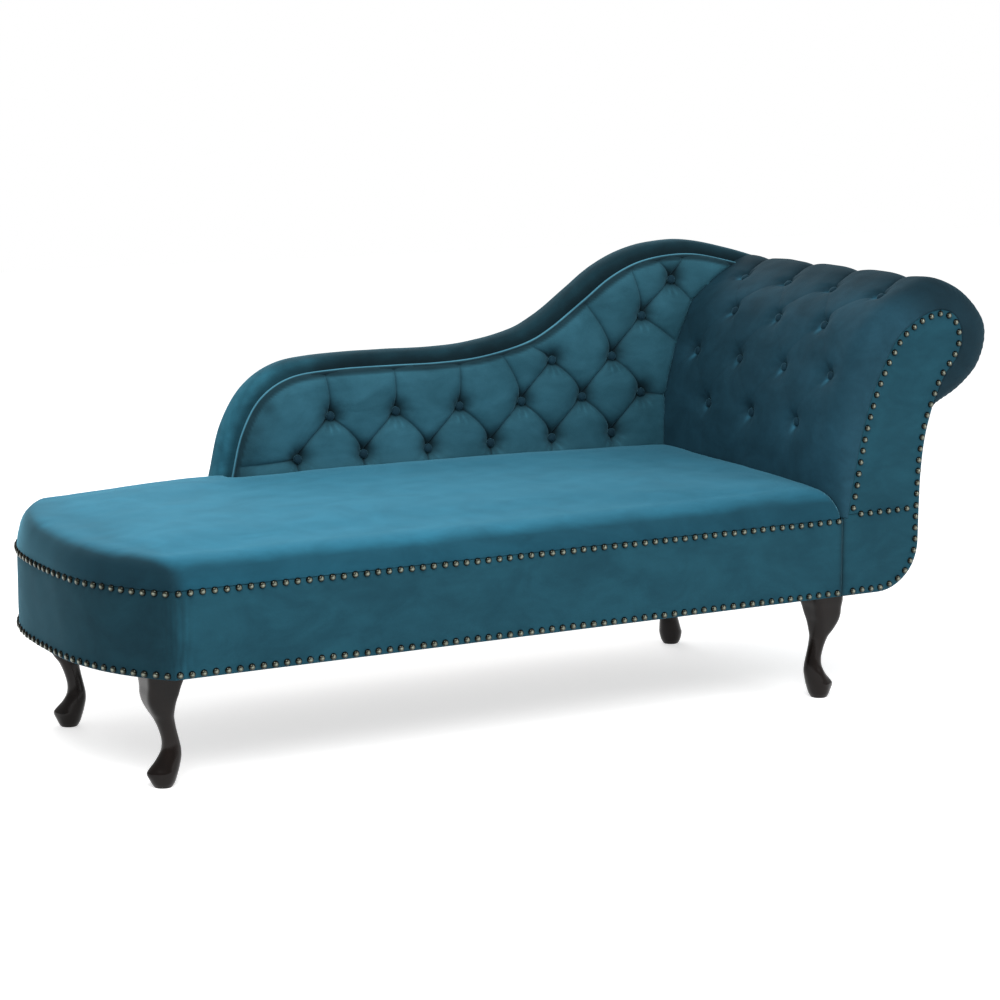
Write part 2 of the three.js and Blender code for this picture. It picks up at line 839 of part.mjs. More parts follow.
function quiltButtons(rows, { firstColumn, columnPitch, firstRow, rowPitch }) {
  const inRow = ({ row, from, count }) =>
    Array.from(
      { length: count },
      (_, i) => new THREE.Vector2(firstColumn + (from + i) * columnPitch, firstRow + row * rowPitch),
    );
  return rows.map(({ spots }) => spots.flatMap(inRow));
}

// Pleats run between neighbouring buttons, and straight on where a button has no neighbour
function quiltPleats(buttons, { columnPitch, rowPitch }, reachUp, reachDown) {
  const buttonNear = (place) => buttons.find((other) => other.distanceTo(place) < button.radius);
  const neighbours = (spot, rise) =>
    [-columnPitch / 2, columnPitch / 2]
      .map((x) => buttonNear(new THREE.Vector2(spot.x + x, spot.y + rise)))
      .filter(Boolean);
  return buttons.flatMap((spot) => {
    const above = neighbours(spot, rowPitch);
    const lines = above.map((other) => [spot, other]);
    if (above.length === 0) {
      lines.push([spot, new THREE.Vector2(spot.x, spot.y + reachUp)]);
    }
    if (neighbours(spot, -rowPitch).length === 0) {
      lines.push([spot, new THREE.Vector2(spot.x, spot.y - reachDown)]);
    }
    return lines;
  });
}

function bell(distance, width) {
  return Math.exp(-((distance / width) ** 2));
}

function quiltDepth(spot, buttons, pleats, quilt) {
  const toPleat = Math.min(...pleats.map((line) => distanceTo(line, spot)));
  const toButton = Math.min(...buttons.map((other) => other.distanceTo(spot)));
  const overPleat = quilt.dimple - quilt.pleat;
  return quilt.pleat * bell(toPleat, quilt.pleatWidth) + overPleat * bell(toButton, quilt.dimpleWidth);
}

// Even grid lines through a first line, and a line at each of two ends
function gridLines(from, to, first, step) {
  const lines = [];
  for (let k = Math.ceil((from - first) / step + 1 / 3); first + k * step < to - step / 3; k += 1) {
    lines.push(first + k * step);
  }
  return [from, ...lines, to];
}

// Whether the pleats cross the grid square after a spot from its upper left to its lower right
function pleatLeans(x, y, { firstColumn, columnStep, firstRow, rowStep }, division) {
  const across = Math.floor((x - firstColumn) / columnStep + 1 / 2);
  const up = Math.floor((y - firstRow) / rowStep + 1 / 2);
  return THREE.MathUtils.euclideanModulo(across + up, division * 2) === division * 2 - 1;
}

const buttonProfile = [
  new THREE.Vector2(0, button.rise),
  new THREE.Vector2(button.radius * (3 / 4), button.rise * (3 / 4)),
  new THREE.Vector2(button.radius, 0),
  new THREE.Vector2(0, 0),
];

// A button on its shank, and the hole for the shank through cover and foam
function buttonBody(point, outward, shank) {
  const inner = point.clone().addScaledVector(outward, -shank);
  const start = point.clone().addScaledVector(outward, button.rise / 2);
  const stem = rod(button.shank, start, inner, button.shankSides);
  return turned(buttonProfile, point, outward, button.sides).add(stem);
}

function buttonHole(point, outward, shank) {
  const inner = point.clone().addScaledVector(outward, -shank - gap);
  return rod(button.shank + gap, point, inner, button.shankSides);
}

const backFront = backFace - backQuilt.puff;
const backLattice = lattice(backQuilt, [back.start, base.length], [base.seam, base.seam + head.rise]);
const backButtonRowSpots = quiltButtons(backButtonRows, backLattice);
const backButtonSpots = backButtonRowSpots.flat();
const backPleats = [
  ...quiltPleats(backButtonSpots, backLattice, head.rise, backLattice.rowPitch),
  [backButtonSpots[0], new THREE.Vector2(back.start, backButtonSpots[0].y)],
];
const quiltLine = shifted(backLine, -back.welt - gap);
const quiltBorder = [...quiltLine.filter((point) => point.x < base.length), ...padLine(1)];

function backSurface(x, z) {
  if (z < seatTop) {
    return backFace;
  }
  const spot = new THREE.Vector2(x, z);
  const toEdge = Math.min(distanceTo(quiltBorder, spot), z - seatTop);
  const atEdge = backQuilt.edge * bell(toEdge, backQuilt.edgeWidth);
  const depth = quiltDepth(spot, backButtonSpots, backPleats, backQuilt) + atEdge;
  return backFront + Math.min(depth, backQuilt.dimple);
}

const { columnStep, rowStep } = backLattice;
const backEnd = base.length + head.reach;
const backColumns = gridLines(back.start - columnStep, backEnd, backLattice.firstColumn, columnStep);
const backRows = gridLines(base.seam - rowStep, highest, backLattice.firstRow, rowStep);
const backGrid = (depthOf) =>
  backRows.map((z) => backColumns.map((x) => new THREE.Vector3(x, depthOf(x, z), z)));
const backSlab = between(
  backGrid(backSurface),
  backGrid(() => coverBack),
  (i, j) => pleatLeans(backColumns[j], backRows[i], backLattice, backQuilt.division),
);
const aboveSeam = block([footLimit, headLimit], [0, backRear], [base.seam + gap, highest]);
const seatSpace = block([footLimit, base.length], [0, backFace], [0, seatTop + gap]);
const quiltOutline = drawn(quiltLine, [0, backRear]).intersect(aboveSeam);

const backAt = (spot, y) => new THREE.Vector3(spot.x, y, spot.y);
const outOfBack = new THREE.Vector3(0, -1, 0);
const backSeatDepth = backFront + backQuilt.dimple - button.lift;
const backShank = base.depth - gap - button.twine / 2 - backSeatDepth;
const backButtonHoles = backButtonSpots.map((spot) =>
  buttonHole(backAt(spot, backSeatDepth), outOfBack, backShank),
);

function twineRun(spots, width, depths) {
  return spots.slice(1).map((to, i) => {
    const from = spots[i];
    const run = to.clone().sub(from).normalize().multiplyScalar(width / 2);
    const side = new THREE.Vector2(-run.y, run.x);
    const start = from.clone().sub(run);
    const end = to.clone().add(run);
    const above = [start.clone().add(side), end.clone().add(side)];
    return drawn([...above, end.sub(side), start.sub(side)], depths);
  });
}

const twineDepths = [base.depth - gap - button.twine, base.depth - gap];
const grooveDepths = [twineDepths[0] - gap, base.depth + gap];
const grooveWidth = button.twine + 2 * gap;
const backGrooves = backButtonRowSpots.flatMap((spots) => twineRun(spots, grooveWidth, grooveDepths));
const backFoam = drawn(quiltLine, [coverBack + gap, base.depth]).intersect(aboveSeam);

place(backGroup, "back_foam", cut(backFoam, armSpace, ...backButtonHoles, ...backGrooves), "foam");
const backCover = cut(backSlab.intersect(quiltOutline), armSpace, seatSpace, ...backButtonHoles);
place(backGroup, "back_tufted_cover", backCover, "velvet");
backButtonRows.forEach(({ name }, i) => {
  const spots = backButtonRowSpots[i];
  const heads = spots.map((spot) => buttonBody(backAt(spot, backSeatDepth), outOfBack, backShank));
  place(backGroup, name, joined([...heads, ...twineRun(spots, button.twine, twineDepths)]), "twine");
});

// Padded border and welt, swept along the back's outline: a section is pairs of depth and height
function swept(line, section) {
  const outer = shifted(line, 1).map((point, i) => point.sub(line[i]));
  const rings = line.map((point, i) =>
    section.map(([y, height]) => {
      const spot = point.clone().addScaledVector(outer[i], height);
      return new THREE.Vector3(spot.x, y, spot.y);
    }),
  );
  return skin(rings, ({ x, y, z }) => new THREE.Vector2(y, x));
}

const borderFront = backFace + 2 * back.welt + gap;
const borderSection = [
  [base.depth, -back.welt],
  [borderFront, -back.welt],
  ...borderShares.map(([y, height]) => [
    THREE.MathUtils.lerp(borderFront, backRear, y),
    THREE.MathUtils.lerp(gap, back.crown, height),
  ]),
  [base.depth, gap],
];
const weltSection = Array.from({ length: bolt.sides }, (_, i) => {
  const angle = (2 * Math.PI * i) / bolt.sides;
  return [backFace + back.welt * (1 + Math.cos(angle)), back.welt * Math.sin(angle)];
});
const baseHeights = [base.bottom - overrun, base.seam + gap];
const baseSpace = raised(planLine(base.length + overrun, -gap, -gap), baseHeights);
const aboveBottom = block([footLimit, headLimit], [0, backRear], [base.bottom, highest * 2]);
const border = swept(backLine, borderSection).intersect(aboveBottom);
const welt = swept(backLine, weltSection).intersect(aboveSeam);
place(backGroup, "back_border", cut(border, baseSpace, armSpace), "velvet");
place(backGroup, "back_welt", cut(welt, baseSpace, armSpace), "velvetDark");

// Head arm: two shaped boards joined by stretchers, with a lining board under the pad

const boardDepths = [velvet + gap, velvet + gap + head.board];
const armRear = base.depth - gap;
const rearBoardDepths = [armRear - head.board, armRear];
const betweenBoards = [boardDepths[1] + gap, rearBoardDepths[0] - gap];
const boardSide = outerSide(velvet + gap, baseEnd);
const boardOutline = [...padLine(0).slice(0, -1), ...boardSide, new THREE.Vector2(baseEnd, base.seam)];
const armAcross = [-overrun, backRear];
const outsideBase = block([baseEnd + gap, headLimit], armAcross, [0, base.seam]).add(
  block([base.length, headLimit], armAcross, [base.seam, highest]),
);
const armBoard = (depths) => drawn(boardOutline, depths).intersect(outsideBase);

place(headGroup, "head_front_board", armBoard(boardDepths), "timber");
place(headGroup, "head_rear_board", armBoard(rearBoardDepths), "timber");

const stretcherHeights = [joinHeight - head.stretcher / 2, joinHeight + head.stretcher / 2];
const baseStretcher = block([baseEnd + gap, baseEnd + gap + head.stretcher], betweenBoards, stretcherHeights);
place(headGroup, "head_stretcher_base", cut(baseStretcher, ...joinHoles), "timber");
// No stretcher lies beside the round bottom corner of the outer side
const overCorner = base.bottom + head.cornerRadius + head.stretcher / 2;
stretcherShares.forEach(({ name, share }) => {
  const centre = pointAt(share, headLeft, headUp);
  centre.y = Math.max(centre.y, overCorner);
  const lengths = [centre.x - head.stretcher / 2, centre.x + head.stretcher / 2];
  const heights = [centre.y - head.stretcher / 2, centre.y + head.stretcher / 2];
  place(headGroup, name, block(lengths, betweenBoards, heights), "timber");
});

const liningLine = padLine(0);
const liningBand = [...liningLine, ...shifted(liningLine, -head.lining).reverse()];
place(headGroup, "head_lining_board", drawn(liningBand, betweenBoards), "board");

// Flat panels on the front of the arm, parted at the cross row of nails

const armSide = outerSide(0, base.length + gap);
const panelOutline = [
  new THREE.Vector2(base.length + gap, base.seam),
  ...padLine(0),
  ...armSide.slice(1),
];
const panel = drawn(panelOutline, [0, velvet]);
const armLengths = [base.length, headLimit];
const abovePanelSplit = block(armLengths, [-overrun, overrun], [panelSplit + gap / 2, highest]);
const belowPanelSplit = block(armLengths, [-overrun, overrun], [0, panelSplit - gap / 2]);
place(headGroup, "head_scroll_panel", panel.intersect(abovePanelSplit), "velvet");
place(headGroup, "head_base_panel", panel.intersect(belowPanelSplit), "velvet");

const coverStart = armSide[0].clone().lerp(armSide[1], 1 / 4);
const coverRun = [coverStart, ...outerSide(0, baseEnd + 2 * gap).slice(1)];
const coverBand = [...coverRun, ...shifted(coverRun, -velvet).reverse()];
place(headGroup, "head_outer_cover", drawn(coverBand, [velvet + gap, armRear]), "velvet");

// Head pad: foam with a quilted cover that rolls over the scroll

const padButtonRows = quiltButtons(headButtonRows, headLattice);
const padButtons = padButtonRows.flat();
const overCrest = headQuilt.overCrestShare * padLength;
const padPleats = quiltPleats(padButtons, headLattice, overCrest, headLattice.firstRow);

// The thickness of the pad, and a spot in it, at an arc length along its face
function padThickness(along) {
  return padPoint(along / padLength, 0).distanceTo(padPoint(along / padLength, 1));
}

function inPad(along, y, fromFace) {
  const spot = padPoint(along / padLength, 1 - fromFace / padThickness(along));
  return new THREE.Vector3(spot.x, y, spot.y);
}

function padSurface(along, y) {
  const thickness = padThickness(along);
  const toward = 1 - THREE.MathUtils.clamp(y / head.padRound, 0, 1);
  const drop = (thickness - head.frontRim) * (1 - Math.sqrt(1 - toward ** 2));
  const fullness = Math.min(thickness / headQuilt.fullDepth, 1);
  const depth = quiltDepth(new THREE.Vector2(y, along), padButtons, padPleats, headQuilt) * fullness;
  return inPad(along, y, Math.max(drop, depth));
}

const roundLines = Array.from({ length: head.roundSteps }, (_, i) => {
  const angle = (Math.PI / 2) * (i / head.roundSteps);
  return head.padRound * (1 - Math.cos(angle));
});
const quiltColumns = gridLines(head.padRound, armRear, headLattice.firstColumn, headLattice.columnStep);
const padColumns = [...roundLines, ...quiltColumns];
const padGrid = (spotOf) => padRows.map((along) => padColumns.map((y) => spotOf(along, y)));
const padSlab = between(
  padGrid(padSurface),
  padGrid((along, y) => inPad(along, y, padThickness(along) - gap)),
  (i, j) => pleatLeans(padColumns[j], padRows[i], headLattice, headQuilt.division),
);

const foamFront = betweenBoards[0];
const foamLine = padLine(head.foamShare);
const foamInner = shifted(padLine(0), gap);
const foamBand = [...foamLine.slice(0, -1), ...foamInner.slice(0, -1).reverse()];
const foamBody = drawn(foamBand, [foamFront, armRear]);
const foamDepths = [foamFront - gap, armRear + overrun];
const foamPlace = drawn([...shifted(foamLine, gap), ...padLine(0).reverse()], foamDepths);

const padSeats = padButtonRows.map((spots) =>
  spots.map((spot) => {
    const depth = headQuilt.dimple - button.lift;
    const seatPoint = inPad(spot.y, spot.x, depth);
    const outward = inPad(spot.y, spot.x, 0).sub(seatPoint).normalize();
    const shank = padThickness(spot.y) - depth - gap - button.twine / 2;
    return { seatPoint, outward, shank, knot: seatPoint.clone().addScaledVector(outward, -shank) };
  }),
);
const padHoles = padSeats
  .flat()
  .map(({ seatPoint, outward, shank }) => buttonHole(seatPoint, outward, shank));
const padGrooves = padSeats.map((seats) => {
  const ends = [seats[0].knot, seats[seats.length - 1].knot];
  const reach = ends[1].clone().sub(ends[0]).normalize().multiplyScalar(button.twine);
  return rod(button.twine / 2 + gap, ends[0].clone().sub(reach), ends[1].clone().add(reach), button.sides);
});

const padFoam = cut(foamBody.intersect(aboveSeam), ...padHoles, ...padGrooves);
const padCover = cut(padSlab.intersect(aboveSeam), foamPlace, ...padHoles);
place(headGroup, "head_foam", padFoam, "foam");
place(headGroup, "head_tufted_cover", padCover, "velvet");
headButtonRows.forEach(({ name }, i) => {
  const seats = padSeats[i];
  const heads = seats.map(({ seatPoint, outward, shank }) => buttonBody(seatPoint, outward, shank));
  const twine = rod(button.twine / 2, seats[0].knot, seats[seats.length - 1].knot, button.sides);
  place(headGroup, name, joined([...heads, twine]), "twine");
});

// Nail trim: domed heads in a row on a narrow strip

const nailProfile = [
  new THREE.Vector2(0, nail.rise),
  new THREE.Vector2(nail.radius, 0),
  new THREE.Vector2(0, 0),
];

const stripFace = gap + nail.stripThickness;
const nailBase = gap + nail.stripThickness / 2;

function baseNails(height) {
  const heights = [height - nail.strip / 2, height + nail.strip / 2];
  const end = base.length - gap;
  const band = [...planLine(end, -stripFace, -stripFace), ...planLine(end, -gap, -gap).reverse()];
  const shown = block([footLimit, end], [-overrun, base.depth - gap], heights);
  const strip = raised(band, heights).intersect(shown);
  const path = planLine(end, -nailBase, -nailBase).slice(0, -1);
  const spots = paced(path.map(({ x, y }) => new THREE.Vector3(x, y, height)), nail.pitch);
  const heads = spots.map(({ point, run }) =>
    turned(nailProfile, point, new THREE.Vector3(-run.y, run.x, 0), nail.sides),
  );
  return joined([strip, ...heads]);
}

function panelNails(line) {
  const band = [...shifted(line, nail.strip / 2), ...shifted(line, -nail.strip / 2).reverse()];
  const spots = paced(line.map(({ x, y }) => new THREE.Vector3(x, -nailBase, y)), nail.pitch);
  const heads = spots.map(({ point }) => turned(nailProfile, point, outOfBack, nail.sides));
  return joined([drawn(band, [-stripFace, -gap]), ...heads]);
}

const crossLine = [
  new THREE.Vector2(base.length + nail.inset * 2 + nail.radius * 2, panelSplit),
  new THREE.Vector2(armSide[3].x - nail.inset - nail.radius * 2, panelSplit),
];
const scrollNails = shifted(padLine(0), -nail.inset);
const sideNails = outerSide(nail.inset, base.length + nail.inset + nail.radius);
const scrollRun = [...scrollNails.filter(({ y }) => y > panelSplit).slice(0, -2), ...sideNails.slice(1)];

place(baseGroup, "seat_upper_nail_trim", baseNails(upperNails), "brass");
place(baseGroup, "seat_lower_nail_trim", baseNails(lowerNails), "brass");
place(headGroup, "head_panel_nail_trim", panelNails(scrollRun), "brass");
place(headGroup, "head_cross_nail_trim", panelNails(crossLine), "brass");

// Legs: one cabriole body, turned to each corner, on hanger bolts

const legHeight = base.bottom - gap;

function legRing([height, sway, width, squareness]) {
  const half = leg.top / 2;
  const bulge = toeShares.reach * Math.exp(-(((height - toeShares.height) / toeShares.spread) ** 2));
  return Array.from({ length: leg.sides }, (_, i) => {
    const angle = (2 * Math.PI * (i + 1 / 2)) / leg.sides;
    const square = Math.max(Math.abs(Math.cos(angle)), Math.abs(Math.sin(angle)));
    const toe = 1 + bulge * Math.max(Math.cos(angle), 0) ** toeShares.sharpness;
    const reach = half * width * toe * THREE.MathUtils.lerp(1, 1 / square, squareness);
    const x = half * sway + reach * Math.cos(angle);
    return new THREE.Vector3(x, reach * Math.sin(angle), height * legHeight);
  });
}

// Wide enough for the bolt however the leg is turned
const legBore = rod(
  (bolt.radius + gap) / Math.cos(Math.PI / bolt.sides),
  new THREE.Vector3(0, 0, legHeight - bolt.inLeg - gap),
  new THREE.Vector3(0, 0, legHeight + overrun),
  bolt.sides,
);
const legRings = [...legShares].reverse().map(legRing);
const legBody = cut(skin(legRings, ({ x, y }) => new THREE.Vector2(x, y)), legBore);
for (const spot of legSpots) {
  const mesh = place(legGroup, `leg_${spot.name}`, legBody, "darkWood");
  mesh.position.set(spot.x, spot.y, 0);
  mesh.rotation.z = THREE.MathUtils.degToRad(spot.turn);
  const boltHeights = [legHeight - bolt.inLeg, railBottom + bolt.inBlock];
  place(legGroup, `leg_bolt_${spot.name}`, upright(spot, bolt.radius, boltHeights), "steel");
}

// The frame stands on the floor, centred over it

const bounds = new THREE.Box3().setFromObject(couch);
const middle = bounds.getCenter(new THREE.Vector3());
couch.position.set(-middle.x, -middle.y, -bounds.min.z);

export default couch;
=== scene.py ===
import math

import bpy
import numpy as np
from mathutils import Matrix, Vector
from mathutils.bvhtree import BVHTree
from mathutils.geometry import delaunay_2d_cdt
from mathutils.kdtree import KDTree


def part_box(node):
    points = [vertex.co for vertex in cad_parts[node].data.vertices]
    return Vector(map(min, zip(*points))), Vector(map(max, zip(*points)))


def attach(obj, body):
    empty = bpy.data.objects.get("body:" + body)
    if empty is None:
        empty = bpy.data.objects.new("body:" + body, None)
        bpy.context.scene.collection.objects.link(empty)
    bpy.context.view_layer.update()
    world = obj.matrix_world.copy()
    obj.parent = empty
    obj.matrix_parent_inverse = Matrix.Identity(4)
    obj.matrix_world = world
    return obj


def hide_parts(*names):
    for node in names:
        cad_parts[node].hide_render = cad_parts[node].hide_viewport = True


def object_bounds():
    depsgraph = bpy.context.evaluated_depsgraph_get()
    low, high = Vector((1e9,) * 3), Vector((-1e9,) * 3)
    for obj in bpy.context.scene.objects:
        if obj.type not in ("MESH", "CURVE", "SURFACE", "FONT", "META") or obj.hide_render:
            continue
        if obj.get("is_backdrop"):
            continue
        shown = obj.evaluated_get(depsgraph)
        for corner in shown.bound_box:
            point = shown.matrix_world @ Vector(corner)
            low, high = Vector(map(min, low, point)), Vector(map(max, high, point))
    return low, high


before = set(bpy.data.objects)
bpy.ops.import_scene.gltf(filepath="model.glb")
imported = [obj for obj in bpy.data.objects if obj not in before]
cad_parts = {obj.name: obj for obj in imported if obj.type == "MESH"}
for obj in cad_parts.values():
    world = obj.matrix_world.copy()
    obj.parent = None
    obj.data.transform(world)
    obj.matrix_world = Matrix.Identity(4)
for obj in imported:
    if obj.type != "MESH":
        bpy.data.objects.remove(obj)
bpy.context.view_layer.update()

# Sizes of the couch in millimetres, in the part's own frame

SEAM, BOTTOM, DEPTH, LENGTH, GAP = 346.0, 198.0, 650.0, 1338.0, 0.3
BOW, BOW_POWER = 108.0, 2.8
BACK_START, CROWN = 362.0, 27.0
REACH, RISE, CORNER = 326.0, 434.0, 92.0
FINE = 2.5

apron_low, apron_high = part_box("seat_apron")
SHIFT = np.array([apron_high.x * 1000 - LENGTH + GAP, apron_low.y * 1000, 0.0])


def to_frame(points):
    return (np.asarray(points, float) + SHIFT) / 1000


def in_scene(name, data):
    obj = bpy.data.objects.new(name, data)
    bpy.context.scene.collection.objects.link(obj)
    return obj


# Camera at the photograph's viewing angle

LENS, SENSOR = 95.4, 36.0
ELEVATION, AZIMUTH = 10.05, -29.3
CAMERA_PLACE = [-1588.525, -3911.315, 1239.59]

camera = in_scene("camera", bpy.data.cameras.new("camera"))
bpy.context.scene.camera = camera
camera.data.lens, camera.data.sensor_width = LENS, SENSOR
camera.rotation_euler = (math.radians(90 - ELEVATION), 0, math.radians(AZIMUTH))
camera.location = to_frame(CAMERA_PLACE)
camera.data.clip_start, camera.data.clip_end = 0.1, 60

# Lines and surfaces


def smooth(points, steps=20):
    """Points on a smooth curve through some points, the same number in each stretch."""
    p = np.asarray(points, float)
    p = np.vstack([p[0], p, p[-1]])
    t = np.linspace(0, 1, steps, endpoint=False)[:, None]
    runs = []
    for a, b, c, d in zip(p, p[1:], p[2:], p[3:]):
        bend, twist = 2 * a - 5 * b + 4 * c - d, 3 * b - a - 3 * c + d
        runs.append(0.5 * (2 * b + (c - a) * t + bend * t**2 + twist * t**3))
    return np.vstack([*runs, p[-1]])


def lengths(line):
    return np.r_[0, np.cumsum(np.linalg.norm(np.diff(line, axis=0), axis=1))]


def at(line, s, along=None):
    """The points of a line at some lengths along it."""
    along = lengths(line) if along is None else along
    return np.column_stack([np.interp(s, along, line[:, k]) for k in range(line.shape[1])])


def even(line, count):
    return at(line, np.linspace(0, lengths(line)[-1], count))


def unit(ways):
    return ways / np.maximum(np.linalg.norm(ways, axis=1), 1e-9)[:, None]


def normals(line):
    """Left of the way along a line in a plane."""
    run = unit(np.gradient(line, axis=0))
    return np.column_stack([-run[:, 1], run[:, 0]])


def bell(values, width):
    """1 at 0, falling off to both sides over a width."""
    return np.exp(-((values / width) ** 2))


def noise(points, size, seed=0, octaves=2):
    """Smooth values from about -1 to 1 over points, the same on each run."""
    rng = np.random.default_rng(seed)
    p = np.asarray(points, float)
    total = np.zeros(len(p))
    for octave in range(octaves):
        scale = size / 2**octave
        for _ in range(6):
            way = rng.normal(size=p.shape[1])
            way /= np.linalg.norm(way)
            turns = p @ way * (2 * np.pi / scale) * rng.uniform(0.6, 1.4)
            total += np.sin(turns + rng.uniform(0, 7)) / 2**octave
    return total / 5


def near(spots, runs):
    """How far each spot is from the nearest run of x, y, strength rows, and that run's strength there."""
    best, strength = np.full(len(spots), 1e9), np.zeros(len(spots))
    for run in runs:
        run = np.asarray(run, float)
        for a, b in zip(run, run[1:]):
            way = b[:2] - a[:2]
            t = np.clip(((spots - a[:2]) @ way) / max(way @ way, 1e-9), 0, 1)
            away = np.linalg.norm(spots - a[:2] - t[:, None] * way, axis=1)
            closer = away < best
            best[closer] = away[closer]
            strength[closer] = (a[2] + t * (b[2] - a[2]))[closer]
    return best, strength


def drape(low, high, steps=10, lean=0.7, start=1.0, end=1.0):
    """A pleat from a lower button, which it leaves straight up, to a higher one, which it meets aslant."""
    t = np.linspace(0, 1, steps)
    across = (1 - lean) * t + lean * (1 - np.cos(np.pi / 2 * t))
    return np.column_stack(
        [low[0] + (high[0] - low[0]) * across, low[1] + (high[1] - low[1]) * t, start + (end - start) * t]
    )


# Meshes: points are in part millimetres


def meshed(name, points, faces):
    mesh = bpy.data.meshes.new(name)
    mesh.from_pydata([tuple(p) for p in to_frame(points)], [], [tuple(f) for f in faces])
    return in_scene(name, mesh)


def piece(name, points, faces, material, slot, *nodes):
    """A dressed piece that rides on the couch and stands in for some nodes."""
    obj = meshed(name, points, faces)
    mesh = obj.data
    mesh.validate()
    mesh.update()
    mesh.polygons.foreach_set("use_smooth", [True] * len(mesh.polygons))
    mesh.materials.append(material)
    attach(obj, "root")
    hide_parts(*nodes)
    return obj


def skin(obj):
    """A piece's points, in part millimetres, and its normals."""
    count = len(obj.data.vertices)
    spots, ways = np.empty(count * 3), np.empty(count * 3)
    obj.data.vertices.foreach_get("co", spots)
    obj.data.vertices.foreach_get("normal", ways)
    return spots.reshape(-1, 3) * 1000 - SHIFT, ways.reshape(-1, 3)


def shade(obj, values):
    """A tone at each point of a piece, 1 as its colour says: mostly painted light and shade, also patina and
    random changes in the nap.
    """
    layer = obj.data.attributes.new("shade", "FLOAT", "POINT")
    layer.data.foreach_set("value", np.asarray(values, float))


def step(values, low, high):
    t = np.clip((values - low) / (high - low), 0, 1)
    return t * t * (3 - 2 * t)


# The four sides of a grid's cell: the way to the next cell, and the corners at the side's ends

CELL_SIDES = [
    (-1, 0, (0, 0), (0, 1)),
    (1, 0, (1, 1), (1, 0)),
    (0, -1, (1, 0), (0, 0)),
    (0, 1, (0, 1), (1, 1)),
]


def slab(front, rear, mask=None):
    """A closed skin over two grids of points, with walls round the cells that are kept."""
    rows, columns = front.shape[:2]
    keep = np.ones((rows - 1, columns - 1), bool) if mask is None else mask
    points = np.vstack([front.reshape(-1, 3), rear.reshape(-1, 3)])
    number = np.arange(rows * columns).reshape(rows, columns)
    back = number + rows * columns
    faces = []
    i, j = np.nonzero(keep)
    for grid, turn in (number, ((0, 0), (0, 1), (1, 1), (1, 0))), (back, ((0, 0), (1, 0), (1, 1), (0, 1))):
        faces += np.column_stack([grid[i + down, j + across] for down, across in turn]).tolist()
    edge = np.pad(keep, 1)
    for di, dj, p, q in CELL_SIDES:
        i, j = np.nonzero(keep & ~edge[1 + di : rows + di, 1 + dj : columns + dj])
        p0, p1 = number[i + p[0], j + p[1]], number[i + q[0], j + q[1]]
        q0, q1 = back[i + p[0], j + p[1]], back[i + q[0], j + q[1]]
        faces += np.column_stack([p1, p0, q0, q1]).tolist()
    used = np.unique(np.array(faces))
    renumber = np.full(len(points), -1)
    renumber[used] = np.arange(len(used))
    return points[used], renumber[np.array(faces)].tolist()


def bands(count, around):
    """The faces between rings of points that all have the same number."""
    faces = []
    for i in range(count - 1):
        for j in range(around):
            m = (j + 1) % around
            faces.append((i * around + j, i * around + m, (i + 1) * around + m, (i + 1) * around + j))
    return faces


def loft(rings):
    """A closed skin over rings of points."""
    rings = np.asarray(rings, float)
    count, around = rings.shape[:2]
    faces = bands(count, around)
    faces.append(tuple(range(around - 1, -1, -1)))
    faces.append(tuple((count - 1) * around + j for j in range(around)))
    return rings.reshape(-1, 3), faces


def together(parts):
    """Several skins as one."""
    points, faces, start = [], [], 0
    for p, f in parts:
        points.append(p)
        faces += [tuple(start + i for i in face) for face in f]
        start += len(p)
    return np.vstack(points), faces


def inside(outline, spots):
    """Which spots lie in an outline."""
    x, y = spots[:, 0], spots[:, 1]
    found = np.zeros(len(spots), bool)
    for (x0, y0), (x1, y1) in zip(outline, np.roll(outline, -1, axis=0)):
        crosses = (y0 > y) != (y1 > y)
        with np.errstate(divide="ignore", invalid="ignore"):
            found ^= crosses & (x < (x1 - x0) * (y - y0) / (y1 - y0) + x0)
    return found


PLEAT_PACE, PLEAT_ROWS = 3, (1.3, -1.3, 3.4, -3.4)
EDGE_CLEAR, ROW_CLEAR, GRID_CLEAR = 2.5, 2.0, 0.45


def run_of(line):
    """A line as a run of full strength."""
    return [np.column_stack([line, np.ones(len(line))])]


def rounded(outline):
    return run_of(np.vstack([outline, outline[:1]]))


def net(outline, xs, ys, runs=(), clear=5.0):
    """Triangles over an outline: a grid, and closer rows along the pleats so that their creases are sharp."""
    closed = rounded(outline)
    x, y = np.meshgrid(xs, ys)
    grid = np.column_stack([x.ravel(), y.ravel()])
    count = len(outline)
    edges = [(i, (i + 1) % count) for i in range(count)]
    lines, beside = [], []
    for run in runs:
        flat = np.asarray(run, float)[:, :2]
        flat = even(flat, max(int(lengths(flat)[-1] / PLEAT_PACE), 2))
        flat = flat[inside(outline, flat) & (near(flat, closed)[0] > EDGE_CLEAR)]
        if len(flat) < 2:
            continue
        first = count + len(lines)
        edges += [(first + i, first + i + 1) for i in range(len(flat) - 1)]
        lines += flat.tolist()
        for offset in PLEAT_ROWS:
            beside.append((flat + offset * normals(flat), abs(offset)))
    if lines:
        for row, offset in beside:
            away, _ = near(row, runs)
            keep = inside(outline, row) & (near(row, closed)[0] > ROW_CLEAR) & (away > offset * 0.9)
            lines += row[keep].tolist()
        grid = grid[near(grid, runs)[0] > clear]
    grid = grid[inside(outline, grid)]
    grid = grid[near(grid, closed)[0] > GRID_CLEAR * min(np.diff(xs).max(), np.diff(ys).max())]
    spots = [Vector(p) for p in [*outline, *lines, *grid]]
    points, _, faces, *_ = delaunay_2d_cdt(spots, edges, [], 1, 1e-4)
    return np.array([tuple(p) for p in points]), [tuple(f) for f in faces]


